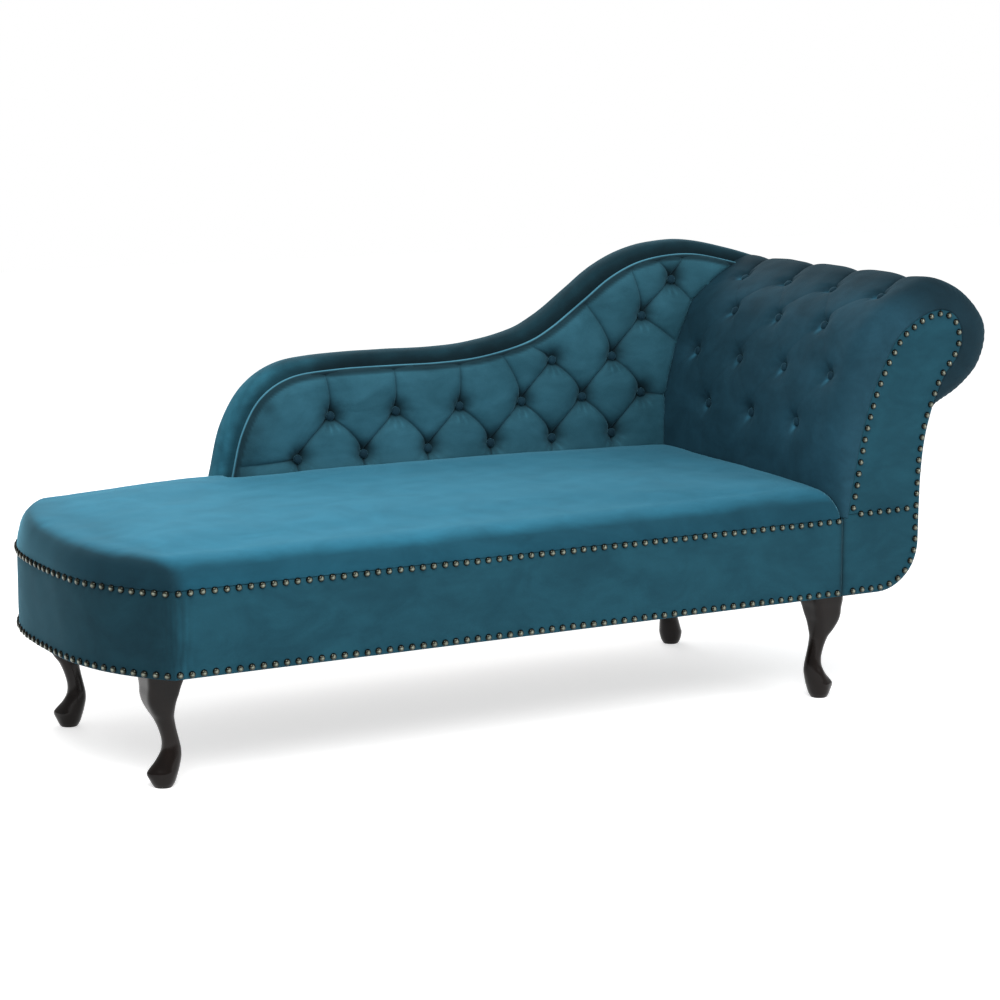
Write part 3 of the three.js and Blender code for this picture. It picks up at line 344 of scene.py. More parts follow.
def backed(front, rear, faces):
    """Closes a net: its front, its rear, and a wall between them."""
    size = len(front)
    rears = [tuple(size + i for i in reversed(f)) for f in faces]
    once = {(a, b) for f in faces for a, b in zip(f, f[1:] + f[:1])}
    walls = [(b, a, size + a, size + b) for a, b in once if (b, a) not in once]
    return np.vstack([front, rear]), list(faces) + rears + walls


RIM = 2.0


def sheet(outline, pace, place, thickness, way):
    """A flat closed piece of cloth over an outline, its edges turned over. place lays spots out in space."""
    outline = np.asarray(outline, float)
    low, high = outline.min(0), outline.max(0)
    xs, ys = (np.arange(low[k] + pace / 2, high[k], pace) for k in (0, 1))
    flat, faces = net(outline, xs, ys)
    turn = np.clip(1 - near(flat, rounded(outline))[0] / RIM, 0, 1)
    front = place(flat) + np.outer(RIM * 0.6 * (1 - np.sqrt(1 - turn**2)), way)
    return backed(front, place(flat) + np.outer(np.full(len(flat), thickness), way), faces)


# Stuffing: cloth drawn over it takes up a fuller form, which the fine surfaces are then laid on


FRAMES = 20


def stuffed(points, faces, held, voxel, pressure, cap):
    """The form that a cloth skin takes up under pressure, where held lets it go, by cap at most."""
    obj = meshed("stuffing", points, faces)
    bpy.context.view_layer.objects.active = obj
    even_out = obj.modifiers.new("even", "REMESH")
    even_out.mode, even_out.voxel_size = "VOXEL", voxel / 1000
    bpy.ops.object.modifier_apply(modifier="even")
    start = np.array([v.co for v in obj.data.vertices])
    weights = held(start * 1000 - SHIFT)
    group = obj.vertex_groups.new(name="held")
    for level in np.unique(np.round(weights, 1)):
        if level > 0:
            group.add(np.nonzero(np.round(weights, 1) == level)[0].tolist(), float(level), "REPLACE")
    cloth = obj.modifiers.new("cloth", "CLOTH")
    cloth.settings.vertex_group_mass = "held"
    cloth.settings.use_pressure = True
    cloth.settings.uniform_pressure_force = pressure
    cloth.settings.effector_weights.gravity = 0
    cloth.settings.quality = 4
    cloth.point_cache.frame_start, cloth.point_cache.frame_end = 1, FRAMES
    for moment in range(1, FRAMES + 1):
        bpy.context.scene.frame_set(moment)
    grown = obj.evaluated_get(bpy.context.evaluated_depsgraph_get())
    moved = np.array([v.co for v in grown.data.vertices]) - start
    far = np.linalg.norm(moved, axis=1)
    moved *= np.minimum(1, cap / 1000 / np.maximum(far, 1e-9))[:, None]
    shell = BVHTree.FromPolygons((start + moved).tolist(), [tuple(f.vertices) for f in obj.data.polygons])
    bpy.context.scene.frame_set(1)
    bpy.data.objects.remove(obj)
    return shell


def laid(shell, points, ways, reach=22.0):
    """Where points come to lie on a stuffed form, looked for along their ways, and how far that is."""
    if shell is None:
        return np.zeros(len(points))
    shift = np.zeros(len(points))
    starts = to_frame(points - ways * reach)
    for i, (start, way) in enumerate(zip(starts, ways)):
        spot, _, _, away = shell.ray_cast(Vector(start), Vector(way), 2 * reach / 1000)
        if spot is not None:
            shift[i] = away * 1000 - reach
    return shift


# Outlines

SCROLL_EDGE = [
    (0.031, 0), (0.08, 0.221), (0.135, 0.407), (0.212, 0.574), (0.34, 0.749), (0.442, 0.816), (0.564, 0.862),
    (0.681, 0.874), (0.782, 0.836), (0.828, 0.748), (0.79, 0.658), (0.704, 0.58), (0.629, 0.468),
]
SCROLL_PAD = [
    (-0.021, 0), (-0.025, 0.228), (-0.006, 0.407), (0.049, 0.574), (0.166, 0.788), (0.301, 0.887),
    (0.482, 0.966), (0.669, 1.006), (0.9, 0.94), (1.073, 0.792), (1.04, 0.622), (0.865, 0.502),
    (0.645, 0.441),
]
SCROLL_SIDE = [(0.583, 0.348), (0.555, 0.217), (0.543, 0.016)]
BACK_EDGE = [
    (0.011, 0.181), (0.028, 0.351), (0.06, 0.492), (0.113, 0.574), (0.194, 0.596), (0.295, 0.597),
    (0.378, 0.595), (0.455, 0.608), (0.535, 0.653), (0.585, 0.714), (0.65, 0.834), (0.701, 0.931),
    (0.754, 0.996), (0.811, 1.025), (0.869, 1.026), (0.928, 0.996),
]


def scaled(shares, x, y):
    return np.array([(x[0] + a * x[1], y[0] + b * y[1]) for a, b in shares])


head_x, head_z = (LENGTH, REACH), (SEAM, RISE)
edge_points = scaled(SCROLL_EDGE, head_x, head_z)
pad_points = scaled(SCROLL_PAD, head_x, head_z)
edge_line, pad_line = smooth(edge_points), smooth(pad_points)
pad_along = lengths(pad_line)
PAD_LENGTH = pad_along[-1]


def pad_spot(s, y, share):
    """A place between the arm's edge, share 0, and the pad's face, share 1."""
    inner, outer = at(edge_line, s, pad_along), at(pad_line, s, pad_along)
    spot = inner + (outer - inner) * np.asarray(share)[:, None]
    return np.column_stack([spot[:, 0], np.broadcast_to(y, len(spot)), spot[:, 1]])


def pad_thickness(s):
    return np.linalg.norm(at(edge_line, s, pad_along) - at(pad_line, s, pad_along), axis=1)


def side_line(inset, end):
    """The head arm's outer side from the neck down, round the corner and along the bottom."""
    side = scaled(SCROLL_SIDE, head_x, head_z)
    right = side[-1][0]
    turn = np.linspace(0, -np.pi / 2, 13)
    corner = (right - CORNER, BOTTOM + CORNER) + CORNER * np.column_stack([np.cos(turn), np.sin(turn)])
    upper = smooth(np.vstack([edge_points[-1:], side]), 6)
    line = np.vstack([upper, corner, [(end, BOTTOM)]])
    return line - inset * normals(line) if inset else line


crest_x = pad_points[7][0]
pad_under = pad_line - (CROWN + GAP) * normals(pad_line)
over_scroll = pad_under[pad_line[:, 0] > crest_x + 4]
under_side = side_line(CROWN + GAP, LENGTH)[4:-1]
back_stops = [
    [(BACK_START, BOTTOM), (BACK_START, SEAM)],
    scaled(BACK_EDGE, (BACK_START, crest_x - BACK_START), head_z),
    over_scroll[6:-12:6],
    under_side[(len(under_side) - 1) % 2 :: 2],
]
back_line = even(smooth(np.vstack(back_stops)), 400)


def foot_edge(y):
    share = np.abs(2 * np.asarray(y, float) / DEPTH - 1)
    return -BOW * (1 - share**BOW_POWER)


# Materials


def nodes_of(name):
    material = bpy.data.materials.new(name)
    material.use_nodes = True
    tree = material.node_tree
    return material, tree, tree.nodes["Principled BSDF"]


def feed(into, value):
    """Links an output to a node's input, or sets the input to a value."""
    if hasattr(value, "links"):
        value.id_data.links.new(value, into)
    else:
        into.default_value = value


def settle(made, values):
    """Feeds a node's inputs and sets its properties by their names."""
    for key, value in values.items():
        if key in made.inputs:
            feed(made.inputs[key], value)
        else:
            setattr(made, key, value)
    return made


def fed(made, *values):
    """Feeds a node's enabled inputs in their order, and gives its first enabled output."""
    for socket, value in zip([s for s in made.inputs if s.enabled], values):
        feed(socket, value)
    return [s for s in made.outputs if s.enabled][0]


def node(tree, kind, **values):
    return settle(tree.nodes.new(kind), values)


def linear(levels):
    """A colour from its red, green and blue levels of 0 to 255."""
    shares = [v / 255 for v in levels]
    return (*(v / 12.92 if v <= 0.04045 else ((v + 0.055) / 1.055) ** 2.4 for v in shares), 1.0)


def grey(level):
    return (level, level, level, 1.0)


def ramp(tree, source, stops):
    made = node(tree, "ShaderNodeValToRGB", Fac=source)
    while len(made.color_ramp.elements) < len(stops):
        made.color_ramp.elements.new(0.5)
    for element, (place, colour) in zip(made.color_ramp.elements, stops):
        element.position, element.color = place, colour
    return made.outputs["Color"]


def grain(tree, coords, scale, detail, roughness, stretch=None, distortion=0.0):
    look = {"Scale": scale, "Detail": detail, "Roughness": roughness, "Distortion": distortion}
    if stretch:
        coords = node(tree, "ShaderNodeMapping", Scale=stretch, Vector=coords).outputs["Vector"]
    made = node(tree, "ShaderNodeTexNoise", Vector=coords, **look)
    return made.outputs["Fac"]


def mixed(tree, kind, *values):
    return fed(node(tree, "ShaderNodeMix", data_type="RGBA", blend_type=kind), *values)


def shaded_by_points(tree, tone):
    """A tone times what shade() gave each point."""
    shade_there = node(tree, "ShaderNodeAttribute", attribute_name="shade", attribute_type="GEOMETRY")
    return mixed(tree, "MULTIPLY", 1.0, tone, shade_there.outputs["Color"])


def relief(tree, height, strength, depth):
    return node(tree, "ShaderNodeBump", Strength=strength, Distance=depth, Height=height).outputs["Normal"]


NAP_SCALE, STROKE_SCALE, FIBRE_SCALE = 9.0, 60.0, 1400.0


def velvet(name, dark, light, sheen, strokes_share=0.3, shaded=True):
    """Cut pile: patches of nap that lie two ways, fine grain, and a sheen at a glancing view."""
    material, tree, shader = nodes_of(name)
    coords = node(tree, "ShaderNodeTexCoord").outputs["Object"]
    patches = grain(tree, coords, NAP_SCALE, 4.0, 0.62, (1.0, 1.3, 1.6), 0.8)
    strokes = grain(tree, coords, STROKE_SCALE, 3.0, 0.6, (0.35, 1.0, 1.0))
    fibre = grain(tree, coords, FIBRE_SCALE, 2.0, 0.6)
    broad = ramp(tree, patches, [(0.36, grey(0)), (0.64, grey(1))])
    fine = ramp(tree, strokes, [(0.3, grey(0)), (0.7, grey(1))])
    nap = mixed(tree, "MIX", strokes_share, broad, fine)
    tone = mixed(tree, "MIX", nap, linear(dark), linear(light))
    if shaded:
        tone = shaded_by_points(tree, tone)
    speck = ramp(tree, fibre, [(0.3, grey(0.8)), (0.7, grey(1.12))])
    colour = mixed(tree, "MULTIPLY", 1.0, tone, speck)
    settle(shader, {"Base Color": colour, "Roughness": 0.85, "Specular IOR Level": 0.15})
    settle(shader, {"Sheen Weight": sheen, "Sheen Roughness": 0.38, "Sheen Tint": TEAL_SHEEN})
    settle(shader, {"Normal": relief(tree, mixed(tree, "MIX", 0.4, fibre, strokes), 0.35, 0.0006)})
    return material


ALONG_LEG, ALONG_RAIL = (1.0, 1.0, 0.12), (0.15, 1.0, 1.0)


def plain(
    name, dark, light, scale, roughness, metallic=0.0, stretch=None, depth=0.0004, gloss=0.5, patina_and_highlight=False
):
    """Wood, metal, foam or lining: two tones in a figure, with a fine grain in its polish and relief."""
    material, tree, shader = nodes_of(name)
    coords = node(tree, "ShaderNodeTexCoord").outputs["Object"]
    figure = grain(tree, coords, scale, 5.0, 0.6, stretch, 0.4)
    fine = grain(tree, coords, scale * 9, 3.0, 0.6, stretch)
    tone = ramp(tree, figure, [(0.32, linear(dark)), (0.68, linear(light))])
    # Per-point tone from shade(): patina and painted highlight on the nails.
    if patina_and_highlight:
        tone = shaded_by_points(tree, tone)
    spread = {"To Min": roughness - 0.08, "To Max": roughness + 0.08}
    polish = node(tree, "ShaderNodeMapRange", Value=fine, **spread).outputs["Result"]
    settle(shader, {"Base Color": tone, "Roughness": polish, "Metallic": metallic})
    settle(shader, {"Specular IOR Level": gloss, "Normal": relief(tree, fine, 0.3, depth)})
    return material


TEAL_SHEEN = linear((120, 190, 215))
# One teal velvet in copies whose tones paint the light and shade: the seat lightest, lit from above; the back
# between; the border, sides and head pad darker, in shade; the buttons darkest, shaded in their pockets; the
# welt lighter, for its painted highlight.
seat_velvet = velvet("velvet_seat", (31, 100, 124), (40, 114, 140), 0.75, 0.12)
back_velvet = velvet("velvet_back", (37, 80, 94), (49, 97, 113), 0.45)
head_velvet = velvet("velvet_head", (21, 53, 66), (29, 65, 80), 0.1)
border_velvet = velvet("velvet_border", (24, 68, 82), (36, 86, 102), 0.3)
side_velvet = velvet("velvet_side", (20, 62, 76), (28, 75, 90), 0.35)
welt_velvet = velvet("velvet_welt", (46, 88, 104), (58, 104, 120), 0.3)
button_velvet = velvet("velvet_button", (16, 42, 54), (24, 56, 70), 0.4, shaded=False)
cad_velvet = velvet("velvet_plain", (20, 62, 76), (28, 75, 90), 0.35, shaded=False)
cad_welt = velvet("velvet_welt_plain", (26, 78, 94), (38, 96, 114), 0.5, shaded=False)
espresso = plain("leg_stain", (9, 6, 5), (24, 16, 13), 22.0, 0.18, 0.0, ALONG_LEG, 0.0001, 0.2)
bronze = plain("nail_bronze", (112, 118, 106), (178, 184, 168), 420.0, 0.14, 1.0, None, 0.0001, patina_and_highlight=True)
cad_bronze = plain("nail_plain", (78, 73, 56), (140, 130, 100), 420.0, 0.2, 1.0)

CAD_LOOKS = {
    "velvet": cad_velvet,
    "welt": cad_welt,
    "buttons": button_velvet,
    "lining_cloth": plain("lining_cloth", (20, 20, 21), (38, 38, 40), 900.0, 0.9),
    "foam": plain("foam", (206, 190, 142), (226, 212, 168), 500.0, 0.95),
    "timber": plain("timber", (168, 128, 84), (204, 166, 118), 14.0, 0.7, 0.0, ALONG_RAIL),
    "board": plain("board", (140, 108, 72), (172, 138, 98), 160.0, 0.8),
    "legs": espresso,
    "nails": cad_bronze,
    "steel": plain("steel", (120, 122, 126), (176, 178, 182), 300.0, 0.35, 1.0),
}
CAD_SLOTS = {
    "timber": ["rail", "corner_block", "post", "stretcher", "head_front_board", "head_rear_board"],
    "board": ["lining_board"],
    "steel": ["bolt"],
    "lining_cloth": ["dust_cloth", "webbing"],
    "foam": ["foam"],
    "buttons": ["buttons"],
    "nails": ["nail_trim"],
    "legs": ["leg_"],
    "welt": ["welt"],
}
for name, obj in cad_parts.items():
    kind = next((k for k, words in CAD_SLOTS.items() if any(w in name for w in words)), "velvet")
    obj.data.materials.clear()
    obj.data.materials.append(CAD_LOOKS[kind])

# Seat cushion: crowned, rolled over at the front and round the foot end, cut away for the back


def rolled(away, radius, power=2.0):
    """The rise, from 0 to 1, of a roll-over at a distance in from its edge."""
    inward = np.clip(np.asarray(away, float) / radius, 0, 1)
    return np.maximum(0, 1 - (1 - inward) ** power) ** (1 / power)


def both(a, b, power=4.0):
    """The lower of two rises, blended where they are alike."""
    return a * b / np.maximum(a**power + b**power - (a * b) ** power, 1e-12) ** (1 / power)


FRONT_ROLL, REAR_ROLL, FOOT_ROLL, FOOT_ROLL_LESS = 74, 32, 70, 34
SEAT_RISE, REAR_RISE, MIDDLE_RISE, CREST_RISE, BASE_RISE = 49, 12, 12, 3, 1.4


def seat_height(x, y):
    away = np.maximum(x - foot_edge(y), 0)
    rear = np.clip(y / DEPTH, 0, 1)
    foot = rolled(away, FOOT_ROLL - FOOT_ROLL_LESS * rear, 2 + 0.8 * rear)
    edge = both(both(rolled(y, FRONT_ROLL), foot), rolled(DEPTH - y, REAR_ROLL))
    full = 1 - (2 * np.clip(x, 0, LENGTH) / LENGTH - 1) ** 2
    rise = SEAT_RISE + REAR_RISE * rear + MIDDLE_RISE * full * rear
    inward = np.clip((np.minimum(y, away) - 76) / 190, 0, 1)
    return SEAM + GAP + BASE_RISE + edge * (rise - BASE_RISE) + CREST_RISE * inward * (2 - inward)


SEAT_END, SEAT_FINE = 1330.5, FINE * 1.4
FOOT_SPAN, REAR_SPAN, STRAIGHT = 80, 24, 300

# Where the seat is cut away for the quilt, the border's edge and the border: behind y and past x

SEAT_CUTS = [(597.3, 362.5), (609.4, 356.5), (619.8, 334.5)]
CUT_COLUMNS, CUT_ROWS = [300, 317, 334.5, 345, 356.5, 362.5], [597.3, 603, 609.4, 615, 619.8, 624]

turn = 1 - np.cos(np.linspace(0, np.pi / 2, 15))
foot_columns = np.r_[FOOT_SPAN * turn, np.arange(FOOT_SPAN + SEAT_FINE, STRAIGHT, SEAT_FINE)]
u = np.r_[foot_columns, CUT_COLUMNS, np.arange(CUT_COLUMNS[-1] + SEAT_FINE, SEAT_END, SEAT_FINE), SEAT_END]
front_rows = np.r_[FRONT_ROLL * turn, np.arange(FRONT_ROLL + SEAT_FINE, 594, SEAT_FINE)]
v = np.r_[front_rows, CUT_ROWS, DEPTH - REAR_SPAN * turn[::-1]]
U, V = np.meshgrid(u, v)
edge_x = foot_edge(V)
stretch = (STRAIGHT - FOOT_SPAN - edge_x) / (STRAIGHT - FOOT_SPAN)
X = np.where(U < STRAIGHT, edge_x + FOOT_SPAN + (U - FOOT_SPAN) * stretch, U)
X = np.where(U < FOOT_SPAN, edge_x + U, X)
Z = seat_height(X, V)
Z -= 9 * np.exp(-np.maximum(SEAT_CUTS[0][0] - V, 0) / 8) * np.clip((X - 352) / 30, 0, 1)
Z -= 5 * np.exp(-(SEAT_END - X) / 8)
flat = np.column_stack([X.ravel(), V.ravel()])
waves = 0.9 * noise(flat, 260, 3) + 0.35 * noise(flat, 80, 6)
Z += waves.reshape(Z.shape) * np.clip((Z - SEAM) / SEAT_RISE, 0, 1)
top = np.dstack([X, V, Z])
under = np.dstack([X, V, np.full_like(X, SEAM + GAP)])
mid_x, mid_v = (X[1:, 1:] + X[:-1, :-1]) / 2, (V[1:, 1:] + V[:-1, :-1]) / 2
keep = ~np.any([(mid_v > behind) & (mid_x > past) for behind, past in SEAT_CUTS], axis=0)
points, faces = slab(top, under, keep)


def seat_held(p):
    fixed = (p[:, 2] < SEAM + 9) | (p[:, 0] > SEAT_END - 8)
    fixed |= (p[:, 1] > 590) & (p[:, 0] > 330)
    return fixed.astype(float)


def blurred(grid, passes):
    for _ in range(passes):
        wide = np.pad(grid, 1, mode="edge")
        sides = wide[:-2, 1:-1] + wide[2:, 1:-1] + wide[1:-1, :-2] + wide[1:-1, 2:]
        grid = (2 * grid + sides) / 6
    return grid


shell = stuffed(points, faces, seat_held, 7.0, 4.0, 5.0)
ways = unit(np.cross(np.gradient(top, axis=1).reshape(-1, 3), np.gradient(top, axis=0).reshape(-1, 3)))
swell = blurred(laid(shell, top.reshape(-1, 3), ways).reshape(Z.shape), 120)
swell *= 0.8 * np.clip((Z - SEAM - 6) / 20, 0, 1)
top = top + ways.reshape(top.shape) * swell[..., None]
seat = piece("seat_cushion", *slab(top, under, keep), seat_velvet, "velvet", "seat_cover", "seat_foam")
spots, ways = skin(seat)
# Painted shade on the seat: where the surface stands upright, on the front and foot rolls, it is darker than
# the top, as the turned nap catches less light, with a ragged edge; more so at the foot end and round the
# front foot corner. The whole seat is also painted lighter at the foot end and darker towards the head end.
lean = ways[:, 2] + 0.04 * noise(spots, 150, 51) + 0.012 * noise(spots * (0.25, 1.0, 1.0), 18, 52)
lean -= 0.07 * step(-spots[:, 0], -50, 30)
lean -= 0.06 * np.exp(-((spots[:, 0] / 150) ** 2) - ((spots[:, 1] / 130) ** 2))
side = 1 - step(lean, 0.74, 1.0)
side *= 0.6 + 0.26 * step(-spots[:, 0], -30, 0)
shade(seat, (1.17 - 0.34 * step(spots[:, 0], 0, 1400)) * (1 - side))

# Tufting


def neighbours(low_row, high_row, pitch):
    """The pairs of buttons in two rows that stand half a pitch apart."""
    return [(a, b) for a in low_row for b in high_row if abs(abs(a[0] - b[0]) - pitch / 2) < 8]


def by_button(spots, buttons):
    """How far each spot is from its nearest button."""
    return np.min([np.hypot(*(spots - np.array(b)).T) for b in buttons], axis=0)


def pockets(spots, buttons, width):
    """How deep each spot lies in a button's pocket, from 0 to 1."""
    return np.exp(-((by_button(spots, buttons) / width) ** 1.7))


def around_buttons(spots, buttons):
    """For each button, the way from it to each spot, and that way's length and angle."""
    for b in buttons:
        away = spots - np.array(b)
        yield away, np.hypot(away[:, 0], away[:, 1]), np.arctan2(away[:, 1], away[:, 0])


def puckers(spots, buttons, reach, count, depth):
    """Small folds that fan out from each button."""
    total = np.zeros(len(spots))
    for k, (_, far, angle) in enumerate(around_buttons(spots, buttons)):
        strength = bell(far - reach, reach * 0.5)
        total += strength * np.cos(count * angle + k * 1.7 + 0.8 * np.sin(angle * 3 + k)) * depth
    return total


def fans(spots, buttons, reach, count, level):
    """Painted highlights on the small folds under each button."""
    total = np.zeros(len(spots))
    for k, (away, far, angle) in enumerate(around_buttons(spots, buttons)):
        under = np.clip(-away[:, 1] / np.maximum(far, 1), 0, 1)
        strength = bell(far - reach, reach * 0.35)
        total += level * under * strength * np.maximum(np.cos(count * angle + k), 0) ** 2
    return total


# Tufted back

BACK_PITCH, HELD = 140, 15
BACK_ROWS = [
    [(509 + BACK_PITCH * k, 437) for k in range(6)],
    [(579 + BACK_PITCH * k, 515) for k in range(6)],
    [(1069, 593), (1209, 593)],
    [(1279, 671)],
    [(1349, 741)],
]
UP_PLEATS = [
    ((579, 515), (566, 603)), ((719, 515), (713, 603)), ((859, 515), (857, 603)), ((999, 515), (955, 607)),
    ((1069, 593), (1022, 622)), ((1209, 593), (1145, 700)), ((1279, 671), (1252, 760)),
    ((1349, 741), (1310, 784)), ((1349, 741), (1375, 787)),
]
SIDE_PLEATS = [
    ((509, 437), (392, 432)), ((1279, 515), (1336, 506)), ((1279, 671), (1352, 620)),
    ((1349, 741), (1392, 700)),
]
QUILT_FACE, QUILT_REAR, QUILT_FOOT, PLEAT_FOOT, POCKET_END = 596.5, 649.0, 392, 400, 624

back_buttons = [b for row in BACK_ROWS for b in row]
row_pairs = list(zip(BACK_ROWS, BACK_ROWS[1:]))
back_runs = [drape(a, b) for low, high in row_pairs for a, b in neighbours(low, high, BACK_PITCH)]
back_runs += [drape(a, b, 8, 0.6, 1.0, 0.75) for a, b in UP_PLEATS]
back_runs += [[(*a, 1.0), (*b, 0.7)] for a, b in SIDE_PLEATS]
back_runs += [[(x, z, 0.9), (x, PLEAT_FOOT, 0.7)] for x, z in BACK_ROWS[0]]

quilt_top = back_line - 2.0 * normals(back_line)
quilt_top = quilt_top[(quilt_top[:, 1] > QUILT_FOOT) & (quilt_top[:, 0] < 1560)]
quilt_top = quilt_top[: int(np.argmax(quilt_top[:, 0])) + 1]
before_crest = np.arange(len(pad_line)) < np.argmax(pad_line[:, 1])
pad_side = pad_line[(pad_line[:, 1] > QUILT_FOOT) & before_crest] + (1.5, 0)
pad_top = even(pad_side, 160)
meet = np.hypot(*(pad_top[:, None] - quilt_top[None]).transpose(2, 0, 1))
i, j = np.unravel_index(np.argmin(meet), meet.shape)
quilt_outline = np.vstack([[(quilt_top[0][0], QUILT_FOOT)], quilt_top[:j], pad_top[i::-1]])
quilt_outline = even(quilt_outline, int(lengths(quilt_outline)[-1] / 4))
BACK_STEP = 4.0
xs, ys = np.arange(364, 1600, BACK_STEP), np.arange(394, 800, BACK_STEP)
flat, faces = net(quilt_outline, xs, ys, back_runs)
border_run, pad_run = run_of(quilt_top), run_of(pad_top)


def back_depth(spots, fine):
    away, strength = near(spots, back_runs)
    depth = 7.5 * strength * np.exp(-away / 17) + 19 * pockets(spots, back_buttons, 19)
    depth += 11 * np.exp(-near(spots, border_run)[0] / 9) + 5 * np.exp(-near(spots, pad_run)[0] / 12)
    if fine:
        depth += 4.6 * strength * np.exp(-away / 2.6) + puckers(spots, back_buttons, 19, 9, 0.7)
        depth += 0.5 * noise(spots, 60, 8)
    return depth


def back_held(p):
    flat_spots = p[:, [0, 2]]
    away, _ = near(flat_spots, back_runs)
    front_side = p[:, 1] < 640
    held = 0.35 * bell(away, 9) + bell(near(flat_spots, border_run)[0], 7)
    held = np.maximum(held, by_button(flat_spots, back_buttons) < HELD)
    held = np.maximum(held, (near(flat_spots, pad_run)[0] < 8) | (p[:, 2] < 398))
    return np.where(front_side, np.clip(held, 0, 1), 1)


front = np.column_stack([flat[:, 0], QUILT_FACE + back_depth(flat, False), flat[:, 1]])
rear = np.column_stack([flat[:, 0], np.full(len(flat), QUILT_REAR), flat[:, 1]])
shell = stuffed(*backed(front, rear, faces), back_held, 6.0, 5.0, 7.0)
swell = laid(shell, front, np.tile((0.0, -1.0, 0.0), (len(front), 1)))
front[:, 1] = np.minimum(QUILT_FACE + back_depth(flat, True) - np.clip(swell, -4, 8), POCKET_END)
back_skin = backed(front, rear, faces)
back = piece("back_quilt", *back_skin, back_velvet, "velvet", "back_tufted_cover", "back_foam")
spots = skin(back)[0][:, [0, 2]]
away, strength = near(spots, back_runs)
# Painted shade on the back: darker in the button pockets and along the pleats, and in a band under the welt.
painted_shade = 0.85 * pockets(spots - (0, 5), back_buttons, 21)
painted_shade += strength * (0.42 * np.exp(-away / 2.2) + 0.13 * np.exp(-away / 16))
edge_away = near(spots, border_run)[0]
painted_shade = np.maximum(painted_shade, 0.72 * (1 - step(edge_away, 7, 14)))
# Darker, with a ragged edge, in a band along the border at the foot end.
foot_end_dark_band = step(-spots[:, 0] - 30 * noise(spots, 60, 64), -500, -400) * bell(edge_away, 50)
painted_shade = np.maximum(painted_shade, 0.48 * foot_end_dark_band)
# Random changes in tone, painted highlights on the small folds under each button, and painted shade towards
# the head end.
light = 1 + 0.1 * noise(spots, 120, 53) + fans(spots, back_buttons, 24, 11, 0.5)
light *= 1.12 * (1.05 - 0.08 * step(spots[:, 0], 700, 1300))
shade(back, light * (1 - np.clip(painted_shade, 0, 0.85)))

# Welt and padded border along the back's outline


def swept(line, section, wobble=None):
    """A closed section of (depth, height) pairs carried along the back's outline."""
    out = normals(line)
    section = np.asarray(section, float)
    rings = []
    for k, (spot, way) in enumerate(zip(line, out)):
        height = section[:, 1] * (1 if wobble is None else 1 + wobble[k])
        rings.append(np.column_stack([spot[0] + way[0] * height, section[:, 0], spot[1] + way[1] * height]))
    return loft(rings)


BORDER_EDGE = [
    (618.6, -4), (620.6, 1), (621, 8), (623.5, 16), (630, 22.5), (640, 26), (650, 26.8), (660, 26),
    (669, 22), (675, 13), (676.7, 2),
]
border_section = np.vstack([smooth(BORDER_EDGE, 5), [(670, 0.6), (640, 0.6)]])
wobble = 0.03 * noise(back_line, 160, 5)
border_skin = swept(back_line, border_section[::-1], wobble)
border = piece("back_border_roll", *border_skin, border_velvet, "velvet", "back_border")
spots = skin(border)[0]
# Painted light and shade on the border: lighter on its rising part at the foot end and darker over the top,
# with streaks of nap along it, and painted shade at its inner edge by the welt.
border_light_and_nap = 1.62 - 1.22 * step(spots[:, 0] + 30 * noise(spots, 90, 54), 420, 600)
border_light_and_nap *= 1 + 0.22 * noise(spots * (0.35, 1.0, 0.35), 22, 55)
border_light_and_nap *= 1 - 0.55 * np.exp(-np.maximum(spots[:, 1] - BORDER_EDGE[1][0], 0) / 3.5)
shade(border, np.clip(border_light_and_nap, 0.2, 1.7))

WELT_RADIUS, WELT_DEPTH, WELT_IN, WELT_LIGHT = 5, 612.4, 4.6, 1.95

around = np.linspace(0, 2 * np.pi, 25)[:-1]
welt_section = WELT_RADIUS * np.column_stack([np.cos(around), np.sin(around)]) + (WELT_DEPTH, -WELT_IN)
welt_line = back_line[(back_line[:, 1] > 405) & (back_line[:, 0] < 1520)]
welt_line = welt_line[: np.argmax(welt_line[:, 0]) + 1]
welt = piece("back_welt_cord", *swept(welt_line, welt_section), welt_velvet, "welt", "back_welt")
# Painted highlight in a thin line along the welt's upper side, painted shade round the rest of it.
turned = np.arctan2(np.sin(around - WELT_LIGHT), np.cos(around - WELT_LIGHT))
shade(welt, np.tile(0.22 + 2.3 * bell(turned, 0.4), len(welt_line)))

# Head pad: quilted, rolled over the scroll

HEAD_PITCH = 150
HEAD_STARTS = [(167, 160), (92, 258), (167, 356), (92, 458)]
HEAD_ROWS = [[(y, s) for y in range(start, 600, HEAD_PITCH)] for start, s in HEAD_STARTS]
HEAD_RISE, REAR_BUTTON = 98, 542
TIGHTNESS, CREST_LEANS, CREST_RUN = (0.35, 0.4, 0.7), (40, 46, 42, 48), 130

head_buttons = [b for row in HEAD_ROWS for b in row]
head_runs = []
for low, high, tight in zip(HEAD_ROWS, HEAD_ROWS[1:], TIGHTNESS):
    head_runs += [drape(a, b, 10, 0.7, tight, tight) for a, b in neighbours(low, high, HEAD_PITCH)]
for x, s in HEAD_ROWS[0]:
    head_runs.append([(x, s, 0.5), (x - 3, 60, 0.2)])
for s in (160, 356):
    head_runs.append(drape((620, s), (REAR_BUTTON, s + HEAD_RISE), 8, 0.7, 0.2, 0.4))
    head_runs.append([(REAR_BUTTON, s + HEAD_RISE, 0.4), (625, s + 190, 0.2)])
crest_runs = []
for (x, s), lean in zip(HEAD_ROWS[3], CREST_LEANS):
    crest_runs.append(drape((x, s), (x + lean, s + CREST_RUN), 10, 0.3, 1.0, 1.0))
    crest_runs.append([(x + lean, s + CREST_RUN, 1.0), (x + lean + 8, PAD_LENGTH - 20, 0.6)])

